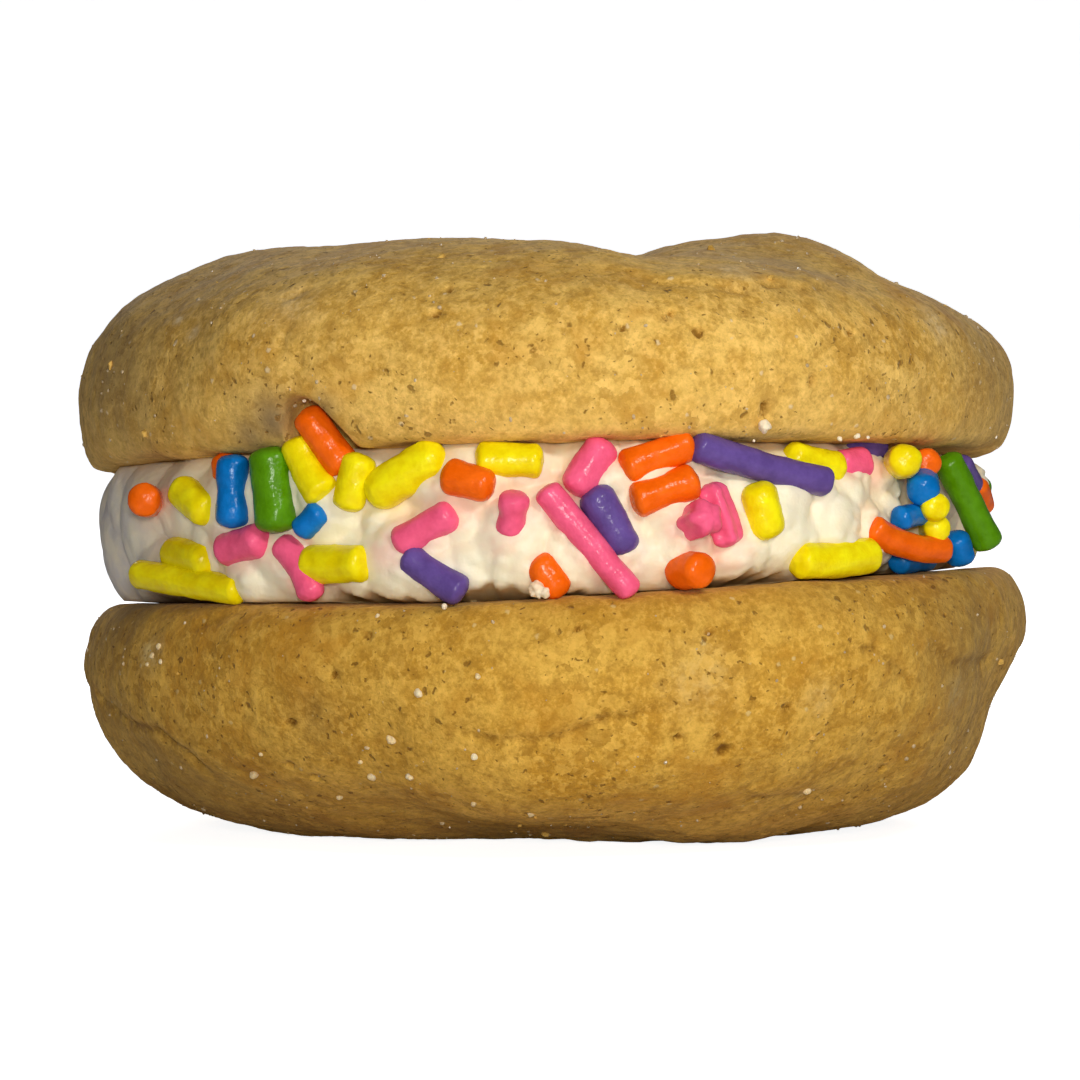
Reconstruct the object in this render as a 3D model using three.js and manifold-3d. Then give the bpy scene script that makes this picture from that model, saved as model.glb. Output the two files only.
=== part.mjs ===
// A cookie ice cream sandwich: two thick, soft sugar cookies with their flat sides together, and between
// them a disc of vanilla ice cream whose lumpy edge is pressed full of rod sprinkles.
// Millimetres, +Z up. The origin is on the table, under the middle of the cookies, and the front faces -Y.
// A "turn" is an angle round the Z axis, from the front towards +X, so +X is at 90 degrees.
import * as THREE from "three";
import Module from "manifold-3d";
import { mergeVertices } from "three/addons/utils/BufferGeometryUtils.js";

const wasm = await Module();
wasm.setup();

// Driving dimensions
const COOKIE_RADIUS = 34.8;
const LOWER_FACE = 16.6; // height of the bottom cookie's flat side, where it is level
const UPPER_FACE = 26.8; // height of the top cookie's flat side, at the middle
const TOP_COOKIE_THICKNESS = 14.7;
const CREAM_RADIUS = 32.2;
const CONTACT_GAP = 0.3; // left between the ice cream and each cookie
const SPRINKLE_DIAMETER = 2.2;

// Fineness of the surfaces
const COOKIE_POINTS = 96; // round a cookie's side
const CREAM_POINTS = 72; // round the ice cream's edge
const COOKIE_INNER_RINGS = [0.3, 0.62]; // rings on a cookie's flat side, as shares of its radius
const CREAM_INNER_RINGS = [0.42, 0.8]; // rings on the ice cream's foot and head
const CREAM_LEVELS = [0, 0.1, 0.24, 0.4, 0.56, 0.72, 0.87, 1]; // rings up the ice cream's edge
const DOME_CROWDING = 0.72; // below 1, a dome's rings crowd towards its top
const SPRINKLE_SIDES = 6;

const GOLDEN_ANGLE = Math.PI * (3 - Math.sqrt(5));
const { degToRad } = THREE.MathUtils;
const frac = (x) => x - Math.floor(x);
const outward = (turn) => new THREE.Vector3(Math.sin(turn), -Math.cos(turn), 0);
const onward = (turn) => new THREE.Vector3(Math.cos(turn), Math.sin(turn), 0);

// ---- The two flat sides, as heights over the plan --------------------------------------------------

// The bottom cookie baked with its +X rim curled up.
const CURL = { start: -8, rise: 2.9, power: 1.25 };
function lowerFace(x) {
  const along = Math.max(0, x - CURL.start) / (COOKIE_RADIUS - CURL.start);
  return LOWER_FACE + CURL.rise * along ** CURL.power;
}

// The top cookie lies a little lower at -X.
const TOP_SLOPE = 0.02;
const upperFace = (x) => UPPER_FACE + TOP_SLOPE * x;

// ---- Unevenness ----------------------------------------------------------------------------------

// Gentle unevenness of baked dough: waves in directions spread evenly over a sphere.
const DOUGH_WAVES = { count: 9, longest: 26, shortest: 8, steepness: 0.008 };
function doughLump(point, batch) {
  let sum = 0;
  for (let i = 0; i < DOUGH_WAVES.count; i++) {
    const share = i / (DOUGH_WAVES.count - 1);
    const length = DOUGH_WAVES.longest * (DOUGH_WAVES.shortest / DOUGH_WAVES.longest) ** share;
    const up = 1 - (2 * i + 1) / DOUGH_WAVES.count;
    const around = (i + batch) * GOLDEN_ANGLE;
    const flat = Math.sqrt(1 - up * up);
    const along = point.x * flat * Math.cos(around) + point.y * flat * Math.sin(around) + point.z * up;
    sum += DOUGH_WAVES.steepness * length * Math.sin((2 * Math.PI * along) / length + i * batch);
  }
  return sum;
}

// A soft hump of height 1 at the middle, with the given half widths; heading turns its length in plan.
function hump(across, along, width, length, heading = 0) {
  const turned = degToRad(heading);
  const u = across * Math.cos(turned) + along * Math.sin(turned);
  const v = along * Math.cos(turned) - across * Math.sin(turned);
  return Math.exp(-((u / width) ** 2) - (v / length) ** 2);
}

// ---- Surfaces from rings -------------------------------------------------------------------------

// Joins rings of points, from the lowest to the highest, into one closed surface. A ring has as many
// points as its neighbour, or half or twice as many, and the first and last are a single point.
function skin(rings) {
  const positions = [];
  const triangles = [];
  const starts = rings.map((ring) => {
    const start = positions.length / 3;
    ring.forEach((p) => positions.push(p.x, p.y, p.z));
    return start;
  });
  for (let k = 0; k + 1 < rings.length; k++) {
    const below = rings[k].length;
    const above = rings[k + 1].length;
    const steps = Math.max(below, above);
    for (let i = 0; i < steps; i++) {
      const a = starts[k] + Math.floor((i * below) / steps);
      const b = starts[k] + (Math.floor(((i + 1) * below) / steps) % below);
      const c = starts[k + 1] + Math.floor((i * above) / steps);
      const d = starts[k + 1] + (Math.floor(((i + 1) * above) / steps) % above);
      if (a !== b) triangles.push(a, b, d);
      if (c !== d) triangles.push(a, d, c);
    }
  }
  const geometry = new THREE.BufferGeometry();
  geometry.setAttribute("position", new THREE.Float32BufferAttribute(positions, 3));
  geometry.setIndex(triangles);
  return geometry;
}

function ringOf(points, place) {
  return Array.from({ length: points }, (_, i) => place((2 * Math.PI * i) / points));
}

// ---- Cookies -------------------------------------------------------------------------------------

// radius, thickness and widest (the height of the widest place over the flat side) are sizes; rim is how
// far the flat side's edge is rounded in; fullness is the dome's power, where more makes a flatter top
// with squarer shoulders. Bumps are places in plan, where rise is how far the dome stands out.
// Dents are places on the side, where reach is how far the side stands out.
const TOP_COOKIE = {
  side: 1,
  face: upperFace,
  batch: 3,
  radius: COOKIE_RADIUS,
  middle: [-0.6, 0],
  thickness: TOP_COOKIE_THICKNESS,
  widest: 5.8,
  rim: 2.1,
  outline: [
    { lobes: 3, turn: 75, size: 0.005 },
    { lobes: 5, turn: 10, size: 0.003 },
  ],
  fullness: (turn) => 4 - 0.2 * Math.sin(turn),
  bumps: [
    { x: 16, y: -13, rise: 1.7, width: 8, length: 5.5, heading: 12 },
    { x: 14, y: -22, rise: -1, width: 9, length: 2.2, heading: 4 },
    { x: 5, y: -18, rise: -1.7, width: 3.4, length: 9, heading: 18 },
    { x: 24, y: -13, rise: -1.2, width: 4.5, length: 9, heading: 0 },
    { x: -22, y: -12, rise: 0.8, width: 7, length: 9, heading: 0 },
    { x: -8, y: 14, rise: 0.8, width: 9, length: 6, heading: 30 },
    { x: 12, y: 17, rise: -0.9, width: 5, length: 9, heading: -40 },
  ],
  dents: [
    { turn: 150, height: 6, reach: 0.7, wide: 14, tall: 4 },
    { turn: 215, height: 4, reach: -0.8, wide: 10, tall: 3 },
  ],
};

const BOTTOM_COOKIE = {
  side: -1,
  face: lowerFace,
  batch: 8,
  radius: COOKIE_RADIUS,
  middle: [0.5, 0],
  thickness: LOWER_FACE + 1,
  widest: 5,
  rim: 2.6,
  outline: [
    { lobes: 3, turn: 15, size: 0.004 },
    { lobes: 7, turn: 40, size: 0.002 },
  ],
  fullness: (turn) => 4.5 + 0.3 * Math.sin(turn),
  bumps: [
    { x: -13, y: -25, rise: -1.9, width: 17, length: 11, heading: 0 },
    { x: 13, y: -25, rise: -0.8, width: 14, length: 9, heading: 0 },
    { x: -14, y: 20, rise: -0.8, width: 8, length: 6, heading: -30 },
  ],
  dents: [
    { turn: 88, height: 9.5, reach: -2.8, wide: 26, tall: 3.2 },
    { turn: -58, height: 10.5, reach: -0.6, wide: 9, tall: 2.4 },
    { turn: 4, height: 8.6, reach: -0.5, wide: 8, tall: 1.4 },
    { turn: 62, height: 4.6, reach: -0.4, wide: 7, tall: 1.6 },
    { turn: 170, height: 8, reach: 0.8, wide: 15, tall: 4 },
    { turn: 235, height: 9, reach: -1, wide: 10, tall: 2.6 },
  ],
};

// The outline's radius at a turn.
function outlineRadius(cookie, turn) {
  const waves = cookie.outline.map((w) => w.size * Math.cos(w.lobes * (turn - degToRad(w.turn))));
  return cookie.radius * (1 + waves.reduce((a, b) => a + b, 0));
}

// A point of the cookie's skin: out is its share of the outline's radius, and deep its share of the way
// from the flat side to the top of the dome.
function cookiePoint(cookie, turn, out, deep) {
  const { side, face, middle, thickness, bumps, dents, batch } = cookie;
  const even = outward(turn).multiplyScalar(out * outlineRadius(cookie, turn));
  const rough = doughLump(new THREE.Vector3(even.x, even.y, deep * thickness), batch);
  const height = deep * thickness;
  const dent = dents.reduce((sum, d) => {
    const away = Math.atan2(Math.sin(turn - degToRad(d.turn)), Math.cos(turn - degToRad(d.turn)));
    return sum + d.reach * hump(away, height - d.height, degToRad(d.wide), d.tall);
  }, 0);
  const rise = bumps.reduce(
    (sum, b) => sum + b.rise * hump(even.x - b.x, even.y - b.y, b.width, b.length, b.heading),
    0,
  );
  const push = out ** 3 * (dent + rough * Math.min(1, 4 * deep));
  const point = even.addScaledVector(outward(turn), push);
  point.x += middle[0];
  point.y += middle[1];
  point.z = face(point.x) * (1 - deep) + (face(0) + side * (thickness + rise + rough)) * deep;
  return point;
}

// Rings over a cookie's skin, from the middle of the flat side to the top of the dome, as shares
// [out, deep] by turn, each with its number of points.
function cookieRings(cookie) {
  const { radius, thickness, widest, rim, fullness } = cookie;
  const rings = [{ points: 1, at: () => [0, 0] }];
  COOKIE_INNER_RINGS.forEach((share, i) => {
    rings.push({ points: COOKIE_POINTS / (4 >> i), at: () => [share, 0] });
  });
  const rimSteps = 4;
  for (let i = 0; i < rimSteps; i++) {
    const angle = ((Math.PI / 2) * i) / rimSteps;
    const out = 1 - (rim / radius) * (1 - Math.sin(angle));
    const deep = (widest / thickness) * (1 - Math.cos(angle));
    rings.push({ points: COOKIE_POINTS, at: () => [out, deep] });
  }
  const domeSteps = 10;
  for (let i = 0; i < domeSteps; i++) {
    const angle = (Math.PI / 2) * (i / domeSteps) ** DOME_CROWDING;
    const deep = (widest + (thickness - widest) * Math.sin(angle)) / thickness;
    const at = (turn) => [Math.cos(angle) ** (2 / fullness(turn)), deep];
    const inner = i - domeSteps;
    const points = COOKIE_POINTS / (inner < -2 ? 1 : inner < -1 ? 2 : 4);
    rings.push({ points, at });
  }
  rings.push({ points: 1, at: () => [0, 1] });
  return rings;
}

function cookieGeometry(cookie) {
  const rings = cookieRings(cookie).map(({ points, at }) =>
    ringOf(points, (turn) => cookiePoint(cookie, turn, ...at(turn))),
  );
  if (cookie.side < 0) rings.reverse();
  // What would reach under the table is pressed flat on it.
  rings.flat().forEach((p) => (p.z = Math.max(p.z, 0)));
  return skin(rings);
}

// ---- Ice cream -----------------------------------------------------------------------------------

// The edge is squeezed out in soft lumps with creases between them, and bulges further out at -X.
const LUMPS = { count: 54, radius: 5.2, depth: 1.5, start: 27, levelStep: 0.7548776662 };
const LUMP_EVEN = 0.35; // how far down a lump's side the ice cream has its plain radius
const CREAM_EDGE = { round: 1.7, power: 4, lean: 0.6 };

// Where the lumps are: turns step by the golden angle, and levels, from 0 at the foot to 1, with them.
const lumps = Array.from({ length: LUMPS.count }, (_, i) => ({
  turn: (i + LUMPS.start) * GOLDEN_ANGLE,
  level: frac(i * LUMPS.levelStep),
}));

const creamFoot = (x) => lowerFace(x) + CONTACT_GAP;
const creamHead = (x) => upperFace(x) - CONTACT_GAP;
const creamHeight = creamHead(0) - creamFoot(0);

// The ice cream's radius at a turn and a level.
function creamRadius(turn, level) {
  const nearest = lumps.reduce((best, lump) => {
    const away = Math.atan2(Math.sin(turn - lump.turn), Math.cos(turn - lump.turn));
    const far = ((away * CREAM_RADIUS) ** 2 + ((level - lump.level) * creamHeight) ** 2) / LUMPS.radius ** 2;
    return Math.min(best, far);
  }, 1);
  const round = CREAM_EDGE.round * Math.abs(2 * level - 1) ** CREAM_EDGE.power;
  return CREAM_RADIUS - CREAM_EDGE.lean * Math.sin(turn) - round - LUMPS.depth * (nearest - LUMP_EVEN);
}

// A point at a turn, a distance from the axis and a level between the two cookies.
function creamPoint(turn, radius, level) {
  const point = outward(turn).multiplyScalar(radius);
  point.z = THREE.MathUtils.lerp(creamFoot(point.x), creamHead(point.x), level);
  return point;
}

// The level of a height above the table, at the ice cream's edge.
function creamLevel(turn, height) {
  const x = CREAM_RADIUS * Math.sin(turn);
  return THREE.MathUtils.clamp((height - creamFoot(x)) / (creamHead(x) - creamFoot(x)), 0, 1);
}

function creamGeometry() {
  const flatRings = (level) => [
    [creamPoint(0, 0, level)],
    ...CREAM_INNER_RINGS.map((share, i) =>
      ringOf(CREAM_POINTS / (4 >> i), (turn) => creamPoint(turn, share * CREAM_RADIUS, level)),
    ),
  ];
  const side = CREAM_LEVELS.map((level) =>
    ringOf(CREAM_POINTS, (turn) => creamPoint(turn, creamRadius(turn, level), level)),
  );
  return skin([...flatRings(0), ...side, ...flatRings(1).reverse()]);
}

// ---- Sprinkles -----------------------------------------------------------------------------------

// Each sprinkle of the front: turn in degrees, height over the bottom cookie's flat side, lean from level
// in degrees, length and diameter. Where the last two are given, the sprinkle is tipped out of the surface
// by that many degrees, and lies that much further out.
const FRONT_SPRINKLES = [
  [-54.2, 6.9, 0, 4.4, 2.2, 34],
  [-45.4, 6.8, -27, 4.2, 2.3],
  [-39, 7.3, 90, 4.8, 2.2],
  [-41.6, 8.3, -80, 3.2, 1.8, 0, -0.5],
  [-33, 7.3, -84, 5.6, 2.8],
  [-28.4, 8.7, -60, 4.5, 2.4],
  [-26.5, 10.4, -58, 4.8, 2.2, -16, 0.8],
  [-23.1, 7.7, 74, 3.8, 2.2],
  [-16.9, 8.2, 30, 5.9, 2.7],
  [-9.3, 7.7, -16, 3.5, 2.2, 6],
  [-4.9, 9, -2, 4.3, 2.3],
  [-14.4, 4.7, 29, 4.6, 2.1],
  [-13.3, 1.8, -33, 4.7, 2],
  [-4.4, 5.6, 80, 2.9, 1.9, 25],
  [4.2, 8.6, 57, 4, 2.3],
  [3.9, 3.9, -50, 8.8, 1.8],
  [6.4, 5.2, -60, 4.7, 2.3],
  [11.9, 9.3, 20, 5.1, 2.2],
  [12.6, 7.1, 19, 4.6, 2.3],
  [15.9, 5.2, 40, 3, 2.5, 72],
  [19, 5.6, -70, 4.2, 2.2],
  [24.3, 5.9, -74, 3.8, 2.3],
  [15.3, 2.1, 0, 3.3, 2.4, 72],
  [24.5, 8.9, -12.5, 10.3, 2, 0, 0.7],
  [33.5, 9.2, -10, 4.7, 2.1],
  [40.1, 9.2, 5, 3, 2.1],
  [44.9, 10.3, 11, 3.2, 1.7],
  [45.9, 9.4, 0, 4.6, 2.2, -45],
  [51.7, 9.4, 0, 4, 1.9, -40],
  [48.9, 7.9, 29, 3.2, 2.2, -30],
  [61.9, 7, -62, 7.5, 2.1, 16],
  [65.5, 9, -26, 3.6, 1.7],
  [71, 7.6, -31, 3.3, 1.6],
  [50.4, 6.4, 0, 3.8, 1.9, -40],
  [52.3, 5, 0, 3.8, 1.8, -38, -0.4],
  [47.4, 5.8, 8, 3.2, 1.6],
  [46.6, 4.4, -11, 7.3, 1.9, 10],
  [52.9, 2.9, 5, 4.8, 1.7],
  [61.5, 3.8, -60, 2.5, 2],
  [35.1, 3, 4, 7, 2.4],
  [-0.4, 1.7, -53, 3, 2.1],
  [-25.5, 2.5, 0, 5.2, 2.5, 10],
  [-30.8, 2.1, -54, 4.7, 1.9],
  [-37.7, 3.8, 11, 4.2, 2.3],
  [-28.4, 5.3, 41, 2.5, 1.7],
  [-48.9, 3.1, -6.5, 5.4, 2.5],
  [-48.1, 1.4, -7, 10.3, 2, -10, 0.7],
];

// The rest of the edge is filled by a rule. Every measure steps on by its own irrational share, and a
// sprinkle that would come too close to one already placed is skipped.
const REST = { count: 54, from: 94, to: 252, clear: 2.1, edge: 1.4 };
const REST_LENGTH = { shortest: 3.4, spread: 6 };
const REST_GIRTH = { thinnest: 0.86, spread: 0.3 }; // as shares of a sprinkle's usual diameter
const FLATTEST_LEAN = 0.08; // the sine of the least lean that a sprinkle may have
const SHARES = { turn: 0.6180339887, height: 0.5698402909, lean: 0.7548776662, length: 0.4301597092 };
const TIPPED = { every: 6, by: 40 }; // some stand out of the surface, by this many degrees

// Points along a sprinkle on the unrolled edge, as [way round, height], to measure how close two lie.
function spine([turn, height, lean, length]) {
  return [-1, -0.33, 0.33, 1].map((share) => {
    const along = (share * (length - SPRINKLE_DIAMETER)) / 2;
    const around = degToRad(turn) * CREAM_RADIUS + along * Math.cos(degToRad(lean));
    return [around, height + along * Math.sin(degToRad(lean))];
  });
}

function tooClose(one, other) {
  return spine(one).some(([a, b]) => spine(other).some(([c, d]) => Math.hypot(a - c, b - d) < REST.clear));
}

function restOfSprinkles() {
  const placed = [];
  for (let i = 0; placed.length < REST.count && i < 4000; i++) {
    const turn = REST.from + (REST.to - REST.from) * frac(i * SHARES.turn);
    const length = REST_LENGTH.shortest + REST_LENGTH.spread * frac(i * SHARES.length) ** 2;
    const x = CREAM_RADIUS * Math.sin(degToRad(turn));
    const lowest = creamFoot(x) - LOWER_FACE + REST.edge;
    const highest = creamHead(x) - LOWER_FACE - REST.edge;
    const height = THREE.MathUtils.lerp(lowest, highest, frac(i * SHARES.height));
    const room = Math.min(height - lowest, highest - height) + REST.edge - SPRINKLE_DIAMETER / 4;
    const steepest = Math.asin(Math.min(1, Math.max(FLATTEST_LEAN, (2 * room) / length)));
    const lean = THREE.MathUtils.radToDeg(steepest) * (2 * frac(i * SHARES.lean) - 1);
    const tip = placed.length % TIPPED.every === TIPPED.every - 1 ? TIPPED.by : 0;
    const girth = REST_GIRTH.thinnest + REST_GIRTH.spread * frac(i * SHARES.lean * 3);
    const diameter = SPRINKLE_DIAMETER * girth;
    const sprinkle = [turn, height, lean, length, diameter, tip];
    if (![...placed, ...FRONT_SPRINKLES].some((other) => tooClose(sprinkle, other))) placed.push(sprinkle);
  }
  return placed;
}

// How far a sprinkle's middle stands out of the ice cream: as a share of its radius where it lies in the
// surface, and of its length where it stands.
const PROUD = { lying: 0.3, standing: 0.28 };
const BLUNT_SHARE = 0.4; // how long a sprinkle's pointed ends are, as a share of its radius

// A rod with blunt, slightly pointed ends, half sunk in the ice cream.
function sprinkleGeometry([turnDegrees, height, leanDegrees, length, diameter, tipDegrees = 0, out = 0]) {
  const [turn, lean, tip] = [turnDegrees, leanDegrees, tipDegrees].map(degToRad);
  const radius = diameter / 2;
  const blunt = BLUNT_SHARE * radius;
  const profile = [
    [0, -length / 2],
    [radius, blunt - length / 2],
    [radius, length / 2 - blunt],
    [0, length / 2],
  ].map(([x, y]) => new THREE.Vector2(x, y));
  const axis = onward(turn)
    .multiplyScalar(Math.cos(tip) * Math.cos(lean))
    .add(new THREE.Vector3(0, 0, Math.cos(tip) * Math.sin(lean)))
    .addScaledVector(outward(turn), Math.sin(tip));
  const level = creamLevel(turn, LOWER_FACE + height);
  const proud = PROUD.lying * radius + PROUD.standing * length * Math.abs(Math.sin(tip));
  const place = outward(turn).multiplyScalar(creamRadius(turn, level) + proud + out);
  place.z = LOWER_FACE + height;
  const rod = new THREE.LatheGeometry(profile, SPRINKLE_SIDES);
  rod.applyQuaternion(new THREE.Quaternion().setFromUnitVectors(new THREE.Vector3(0, 1, 0), axis));
  return rod.translate(place.x, place.y, place.z);
}

// ---- Joining -------------------------------------------------------------------------------------

function solidOf(geometry) {
  const bare = geometry.clone();
  bare.deleteAttribute("normal");
  bare.deleteAttribute("uv");
  const merged = mergeVertices(bare, 1e-4);
  const vertProperties = new Float32Array(merged.attributes.position.array);
  return new wasm.Manifold(
    new wasm.Mesh({ numProp: 3, vertProperties, triVerts: new Uint32Array(merged.index.array) }),
  );
}

function geometryOf(solid) {
  const { vertProperties, triVerts } = solid.getMesh();
  const geometry = new THREE.BufferGeometry();
  geometry.setAttribute("position", new THREE.BufferAttribute(vertProperties, 3));
  geometry.setIndex(new THREE.BufferAttribute(triVerts, 1));
  geometry.computeVertexNormals();
  return geometry;
}

// A slightly larger copy of a solid about a middle height, moved along Z, that cuts its neighbour clear.
function grown(solid, middleHeight, shift) {
  const scale = 1 + CONTACT_GAP / COOKIE_RADIUS;
  return solid
    .translate([0, 0, -middleHeight])
    .scale([scale, scale, scale])
    .translate([0, 0, middleHeight + shift]);
}

// One sprinkle is caught under the top cookie's rim and has pressed a notch into it, which leaves some room
// all round the sprinkle and reaches this far in and out from the rim.
const NOTCH = { sprinkle: 6, room: 0.75, depth: 5, inset: 1 };
function notch(room) {
  const [turn, height, lean, length, diameter] = FRONT_SPRINKLES[NOTCH.sprinkle];
  const hollow = new THREE.SphereGeometry(1, 14, 8);
  hollow.scale(length / 2 + room, NOTCH.depth, diameter / 2 + room);
  hollow.rotateY(degToRad(-lean)).rotateZ(degToRad(turn));
  const place = outward(degToRad(turn)).multiplyScalar(COOKIE_RADIUS - NOTCH.inset);
  return solidOf(hollow.translate(place.x, place.y, LOWER_FACE + height));
}

const bottomCookie = solidOf(cookieGeometry(BOTTOM_COOKIE));
const wholeTopCookie = solidOf(cookieGeometry(TOP_COOKIE));
const topCookie = wholeTopCookie.subtract(notch(NOTCH.room));

const sprinkles = [...FRONT_SPRINKLES, ...restOfSprinkles()].map(sprinkleGeometry).map(solidOf);
// The copies that cut the sprinkles move a little less than the gap, to stay off the ice cream's own faces.
const shift = 0.9 * CONTACT_GAP;
const topRoom = grown(wholeTopCookie, UPPER_FACE, -shift).subtract(notch(NOTCH.room - CONTACT_GAP));
const bottomRoom = grown(bottomCookie, LOWER_FACE, shift);
const cream = solidOf(creamGeometry()).add(wasm.Manifold.union(sprinkles));
const iced = cream.subtract(topRoom).subtract(bottomRoom);
// Cutting clear of the cookies can leave loose scraps: only the main body stays.
const iceCreamBody = iced.decompose().reduce((a, b) => (a.volume() > b.volume() ? a : b));

// ---- The scene -----------------------------------------------------------------------------------

const dough = new THREE.MeshStandardMaterial({ color: "#c69748", roughness: 0.85, metalness: 0 });
const iceCream = new THREE.MeshStandardMaterial({ color: "#f6ead2", roughness: 0.55, metalness: 0 });

function node(name, solid, material) {
  const mesh = new THREE.Mesh(geometryOf(solid), material);
  mesh.name = name;
  return mesh;
}

const sandwich = new THREE.Group();
sandwich.name = "cookie_ice_cream_sandwich";
sandwich.add(
  node("bottom_cookie", bottomCookie, dough),
  node("ice_cream", iceCreamBody, iceCream),
  node("top_cookie", topCookie, dough),
);

export default sandwich;
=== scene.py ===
"""A cookie ice cream sandwich: the finish of its two cookies, its ice cream and its sprinkles.

Lengths in the rules are millimetres and are turned into metres where a mesh is made. A turn is an angle
round the Z axis in degrees, from the front at -Y towards +X.
"""

import math

import bmesh
import bpy
import numpy as np
from bpy.props import FloatProperty, FloatVectorProperty, IntProperty, PointerProperty
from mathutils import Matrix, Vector
from mathutils.bvhtree import BVHTree


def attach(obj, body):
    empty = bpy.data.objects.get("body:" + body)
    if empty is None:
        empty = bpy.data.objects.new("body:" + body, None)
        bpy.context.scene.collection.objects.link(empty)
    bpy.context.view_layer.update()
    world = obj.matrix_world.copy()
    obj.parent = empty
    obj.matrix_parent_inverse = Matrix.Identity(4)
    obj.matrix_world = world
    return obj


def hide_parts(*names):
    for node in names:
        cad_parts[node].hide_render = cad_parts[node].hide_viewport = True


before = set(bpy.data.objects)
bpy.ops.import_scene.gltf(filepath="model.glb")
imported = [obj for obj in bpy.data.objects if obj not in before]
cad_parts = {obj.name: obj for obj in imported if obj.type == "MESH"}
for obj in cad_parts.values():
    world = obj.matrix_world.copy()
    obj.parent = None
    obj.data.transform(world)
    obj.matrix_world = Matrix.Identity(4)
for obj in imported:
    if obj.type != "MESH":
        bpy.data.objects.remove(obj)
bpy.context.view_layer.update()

bl_info = {
    "name": "Cookie ice cream sandwich",
    "version": (1, 0, 0),
    "blender": (4, 5, 0),
    "location": "3D Viewport > Sidebar > Sandwich",
    "description": "Builds the dough, ice cream, sprinkles, sugar and crumbs of a cookie ice cream sandwich",
    "category": "Object",
}

MM = 0.001
GOLDEN_ANGLE = math.pi * (3 - math.sqrt(5))

# ---- Sizes shared with the solids ----

COOKIE_RADIUS = 34.8
LOWER_FACE = 16.6
UPPER_FACE = 26.8
CREAM_RADIUS = 32.2
CONTACT_GAP = 0.3
SPRINKLE_DIAMETER = 2.2
CURL_START, CURL_RISE, CURL_POWER = -8, 2.9, 1.25
TOP_SLOPE = 0.02
LUMP_COUNT, LUMP_RADIUS, LUMP_DEPTH, LUMP_START = 54, 5.2, 1.5, 27
LUMP_LEVEL_STEP = 0.7548776662
EDGE_ROUND, EDGE_POWER, EDGE_LEAN = 1.7, 4, 0.6
PROUD_LYING, PROUD_STANDING = 0.3, 0.28

# ---- Shapes that are finer than the solids ----

# How square the rounded ends of the sprinkles are.
CAP_POWER = 2.3
# How the edge is crumbled: the lumps' count, radius, first place and unevenness.
MIDDLING_LUMPS = (300, 1.95, 11, 0.9)
SMALL_LUMPS = (1300, 0.9, 5, 1.2)
# The rings of the disc's flat sides, as shares of its radius, and how far it reaches into the cookies.
INNER_RINGS, CREAM_OVERLAP = [0.4, 0.75, 0.87], 0.03
# Middle turn and half width in degrees: where the edge is crumbled most, where it lies deeper than
# elsewhere, where its rims stand out, and where it is calmer.
CRUMBLED = [(38, 16), (2, 7)]
SUNK_PART, LEFT_PART, CALM_PART = (60, 15), (278, 20), (290, 28)

# ---- Where the dough is creased, folded and pitted ----

# Each crease: width, depth, how far the dough above it stands proud, and its points as (turn, height).
BOTTOM_CREASES = [
    (0.32, 0.42, 0.1, [(-9.5, 8.5), (-6, 8.2), (-1.3, 8.1), (1, 8.4), (4.8, 9.3), (10.2, 10), (12, 9.7)]),
    (0.35, 0.4, 0.1, [(31.6, 13.6), (35.8, 13.7), (38.6, 12.6), (42.1, 11.4)]),
    (0.6, 0.35, 0.2, [(43.7, 14.1), (49.1, 12.7), (63, 12.7)]),
    (0.5, 0.3, 0.1, [(23, 4.2), (30.1, 4.1), (37.7, 4.1)]),
    (0.5, 0.45, 0.12, [(-70.9, 10.2), (-61.8, 8.4), (-53.4, 8), (-49.2, 6.7), (-47.8, 5)]),
    (0.4, 0.3, 0.1, [(-46.3, 14.8), (-41.5, 15.5), (-36.9, 16.3)]),
    (0.9, 0.3, 0, [(-26.9, 11), (-27.6, 9.5), (-28.7, 8)]),
]
TOP_CREASES = [
    (0.35, 0.5, 0.05, [(-30.8, 36.3), (-28.3, 36.8)]),
    (0.3, 0.45, 0, [(-28.8, 34.2), (-29.3, 33.5), (-29.2, 32.5)]),
    (0.35, 0.3, 0.12, [(7.5, 38.2), (12.1, 37), (16.6, 36.9), (19, 36.9)]),
    (0.35, 0.35, 0.22, [(17.5, 36.9), (22.3, 36.6), (25.9, 37.2), (31.3, 36.9), (36, 37.5)]),
    (0.13, 0.3, 0, [(47.5, 36), (49, 35.5), (50.8, 35.3), (52.4, 35.5), (53.4, 36)]),
]
# The creases of the sides and the back: how many, their depth, and between which turns and heights.
BACK_CREASES, BACK_DEPTH, BACK_FROM, BACK_TO = 13, 0.4, 78, 282
BOTTOM_RANGE, TOP_RANGE = (4, 14), (30, 38)
# How deep a pit is, how far the top cookie is painted paler along its flat side, as painted light on its
# lower band, and the bottom cookie darker along its own, and the width in metres of the patches of tone on
# cookies and on crumbs.
PIT_DEPTH, RIM_LIGHT_AND_DARK, COOKIE_PATCH, CRUMB_PATCH = 0.75, 0.25, 0.0038, 0.0015
# Each pit: turn, height and radius.
BOTTOM_PITS = [
    (-30.4, 8.9, 0.3), (-32.5, 6.1, 0.25), (-24.1, 12.1, 0.25), (16.4, 14.9, 0.25),
    (18.5, 7.3, 0.45), (17.6, 8.2, 0.3), (13.2, 8.1, 0.25), (43, 5.6, 0.25), (25.2, 10, 0.2),
    (-20, 14.6, 0.3), (-30.1, 5.3, 0.25), (2.5, 15.1, 0.25),
]
TOP_PITS = [
    (-11.6, 36.5, 0.25), (-12.6, 34.8, 0.3), (-2, 32.3, 0.25), (7.5, 33.8, 0.25),
    (12.3, 34.6, 0.25), (12.9, 34.9, 0.2), (15.7, 33.5, 0.3), (15.1, 33.8, 0.2), (34.7, 34.1, 0.25),
    (29, 30.8, 0.25), (23.4, 28.7, 0.35), (23.3, 29.1, 0.3),
]
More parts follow.
